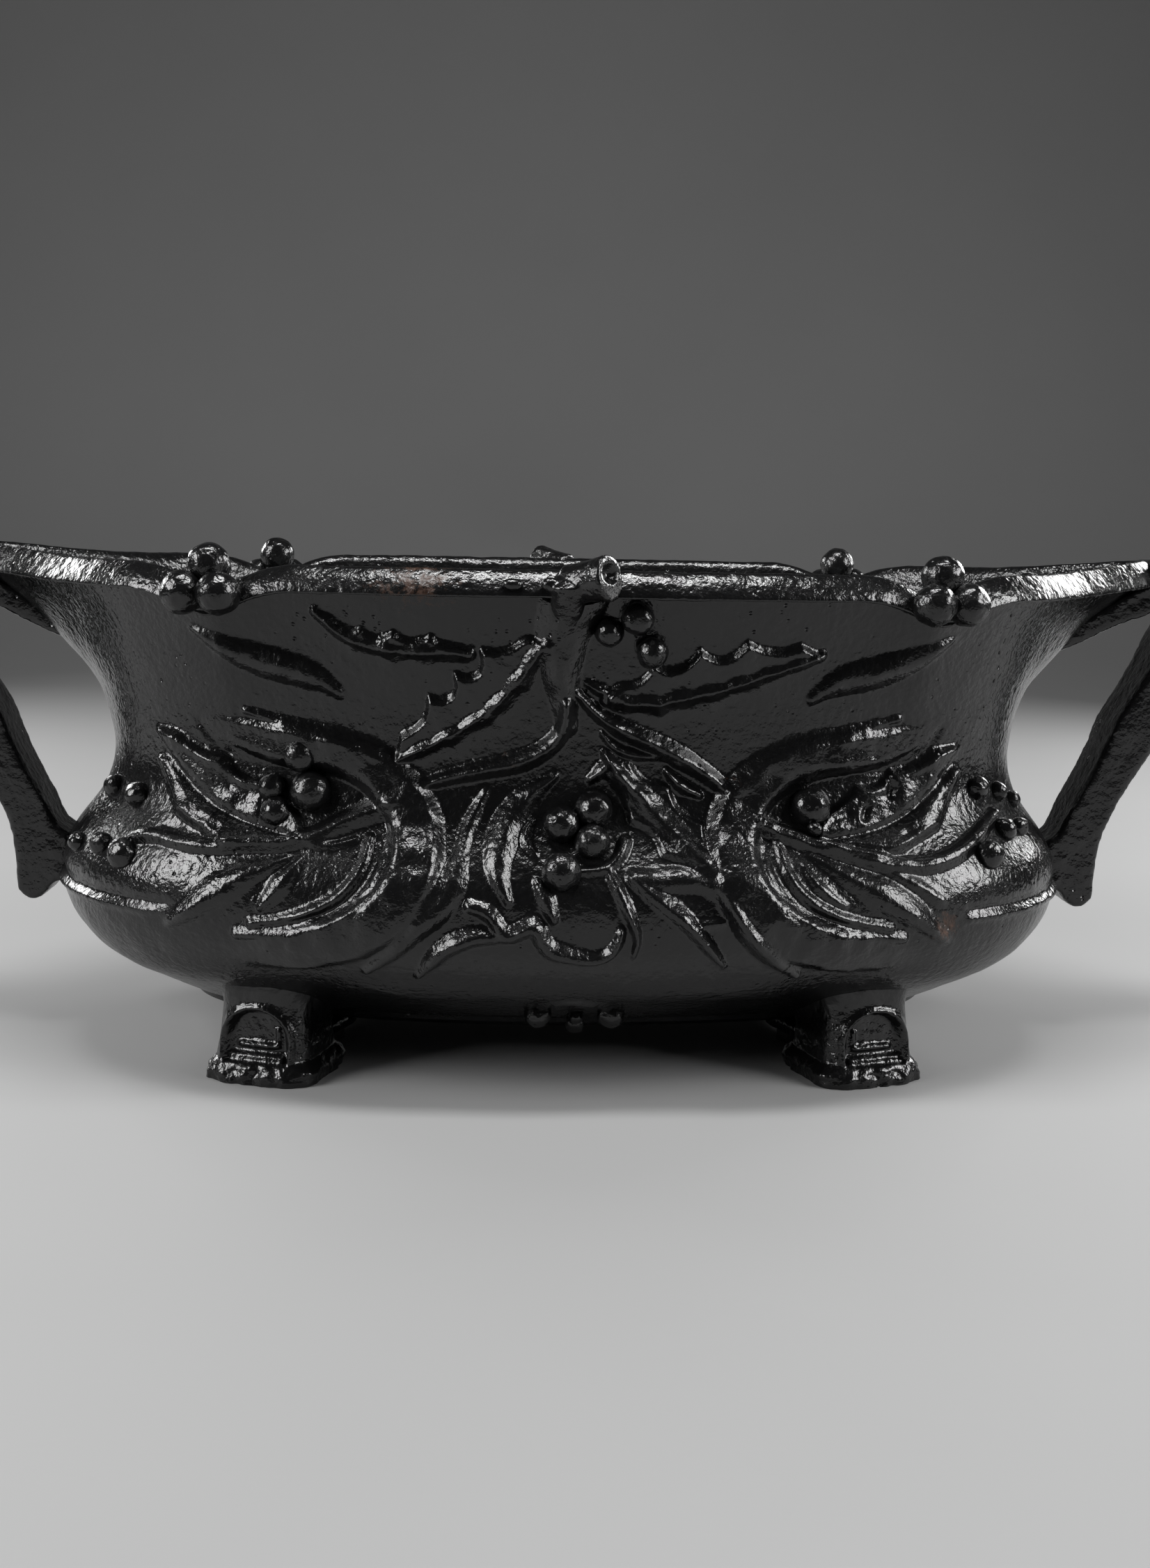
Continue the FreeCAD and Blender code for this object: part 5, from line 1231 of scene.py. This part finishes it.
# Studio
# A pale seamless sweep lies under the planter, rises behind it and carries its shadow.
# Soft lamps on both sides, before and behind, and one above give the long highlights on the paint.
sweep_profile = [
    (-3.0, 0.0), (-0.5, 0.0), (0.6, 0.0), (1.2, 0.0), (1.5, 0.05), (1.75, 0.2), (1.9, 0.5), (1.95, 1.2),
    (1.95, 3.0),
]
sweep_half_width, sweep_drop = 4.0, 0.0002
sweep_line = smooth_through(sweep_profile, np.linspace(0, 1, 80))
sweep_line[:, 1] = np.maximum(sweep_line[:, 1], 0)
verts, faces = [], []
for y, z in sweep_line:
    verts += [(-sweep_half_width, y, z - sweep_drop), (sweep_half_width, y, z - sweep_drop)]
for i in range(len(sweep_line) - 1):
    faces.append((2 * i, 2 * i + 1, 2 * i + 3, 2 * i + 2))
mesh = bpy.data.meshes.new("sweep")
mesh.from_pydata(verts, [], faces)
mesh.polygons.foreach_set("use_smooth", [True] * len(faces))
paper, tree, shader = new_finish("pale_paper")
place = put(tree, "ShaderNodeTexCoord").outputs["Object"]
fibre = soft_noise(tree, place, 6.0, 3.0)
tone = blend(tree, fibre, (0.3, 0.3, 0.3, 1), (0.32, 0.32, 0.32, 1))
tree.links.new(tone, shader.inputs["Base Color"])
shader.inputs["Roughness"].default_value = 0.75
mesh.materials.append(paper)
sweep = shown("sweep", mesh)

world = bpy.data.worlds.new("studio")
world.use_nodes = True
surround = world.node_tree.nodes["Background"].inputs
surround["Color"].default_value = (0.8, 0.8, 0.8, 1)
surround["Strength"].default_value = 0.03
scene.world = world

# Each lamp has its place, the spot that it is aimed at, its width and height, and its power.
for name, spot, aim, width, height, power in (
    ("left_softbox", (-0.85, -0.38, 0.55), (-0.06, 0, 0.08), 0.46, 0.48, 8.0),
    ("right_softbox", (0.87, -0.33, 0.53), (0.06, 0, 0.08), 0.46, 0.48, 8.0),
    ("left_back_softbox", (-0.82, 0.62, 0.44), (-0.1, 0, 0.1), 0.5, 0.36, 6.5),
    ("right_back_softbox", (0.82, 0.62, 0.44), (0.1, 0, 0.1), 0.5, 0.36, 6.5),
    ("top_softbox", (0.0, -0.18, 1.05), (0, -0.02, 0.1), 0.56, 0.18, 7.4),
):
    lamp = bpy.data.lights.new(name, "AREA")
    lamp.shape, lamp.size, lamp.size_y, lamp.energy = "RECTANGLE", width, height, power
    holder = shown(name, lamp)
    holder.location = spot
    holder.rotation_euler = (Vector(aim) - Vector(spot)).to_track_quat("-Z", "Y").to_euler()

# Camera
# It stands close in front, a little to the left and above the rim, and looks slightly down.
# The frame is 1652 by 2252, taller than wide, so the focal length is set on its height.
frame_height, focal_pixels, sensor = 2252, 2401.0, 36.0
pitch, yaw, roll = 0.1536, 0.0500, 0.0191
camera_place = (-0.02324, -0.5336, 0.16623)
ahead = np.array([math.sin(yaw) * math.cos(pitch), math.cos(yaw) * math.cos(pitch), -math.sin(pitch)])
right = np.array([math.cos(yaw), -math.sin(yaw), 0.0])
over = np.cross(right, ahead)
right, over = right * math.cos(roll) + over * math.sin(roll), over * math.cos(roll) - right * math.sin(roll)
lens = bpy.data.cameras.new("camera")
lens.sensor_width, lens.lens = sensor, focal_pixels / frame_height * sensor
lens.clip_start = 0.01
camera = shown("camera", lens)
turned = np.eye(4)
turned[:3] = np.column_stack([right, over, -ahead, camera_place])
camera.matrix_world = Matrix(turned.tolist())
scene.camera = camera
scene.view_settings.view_transform = "Standard"
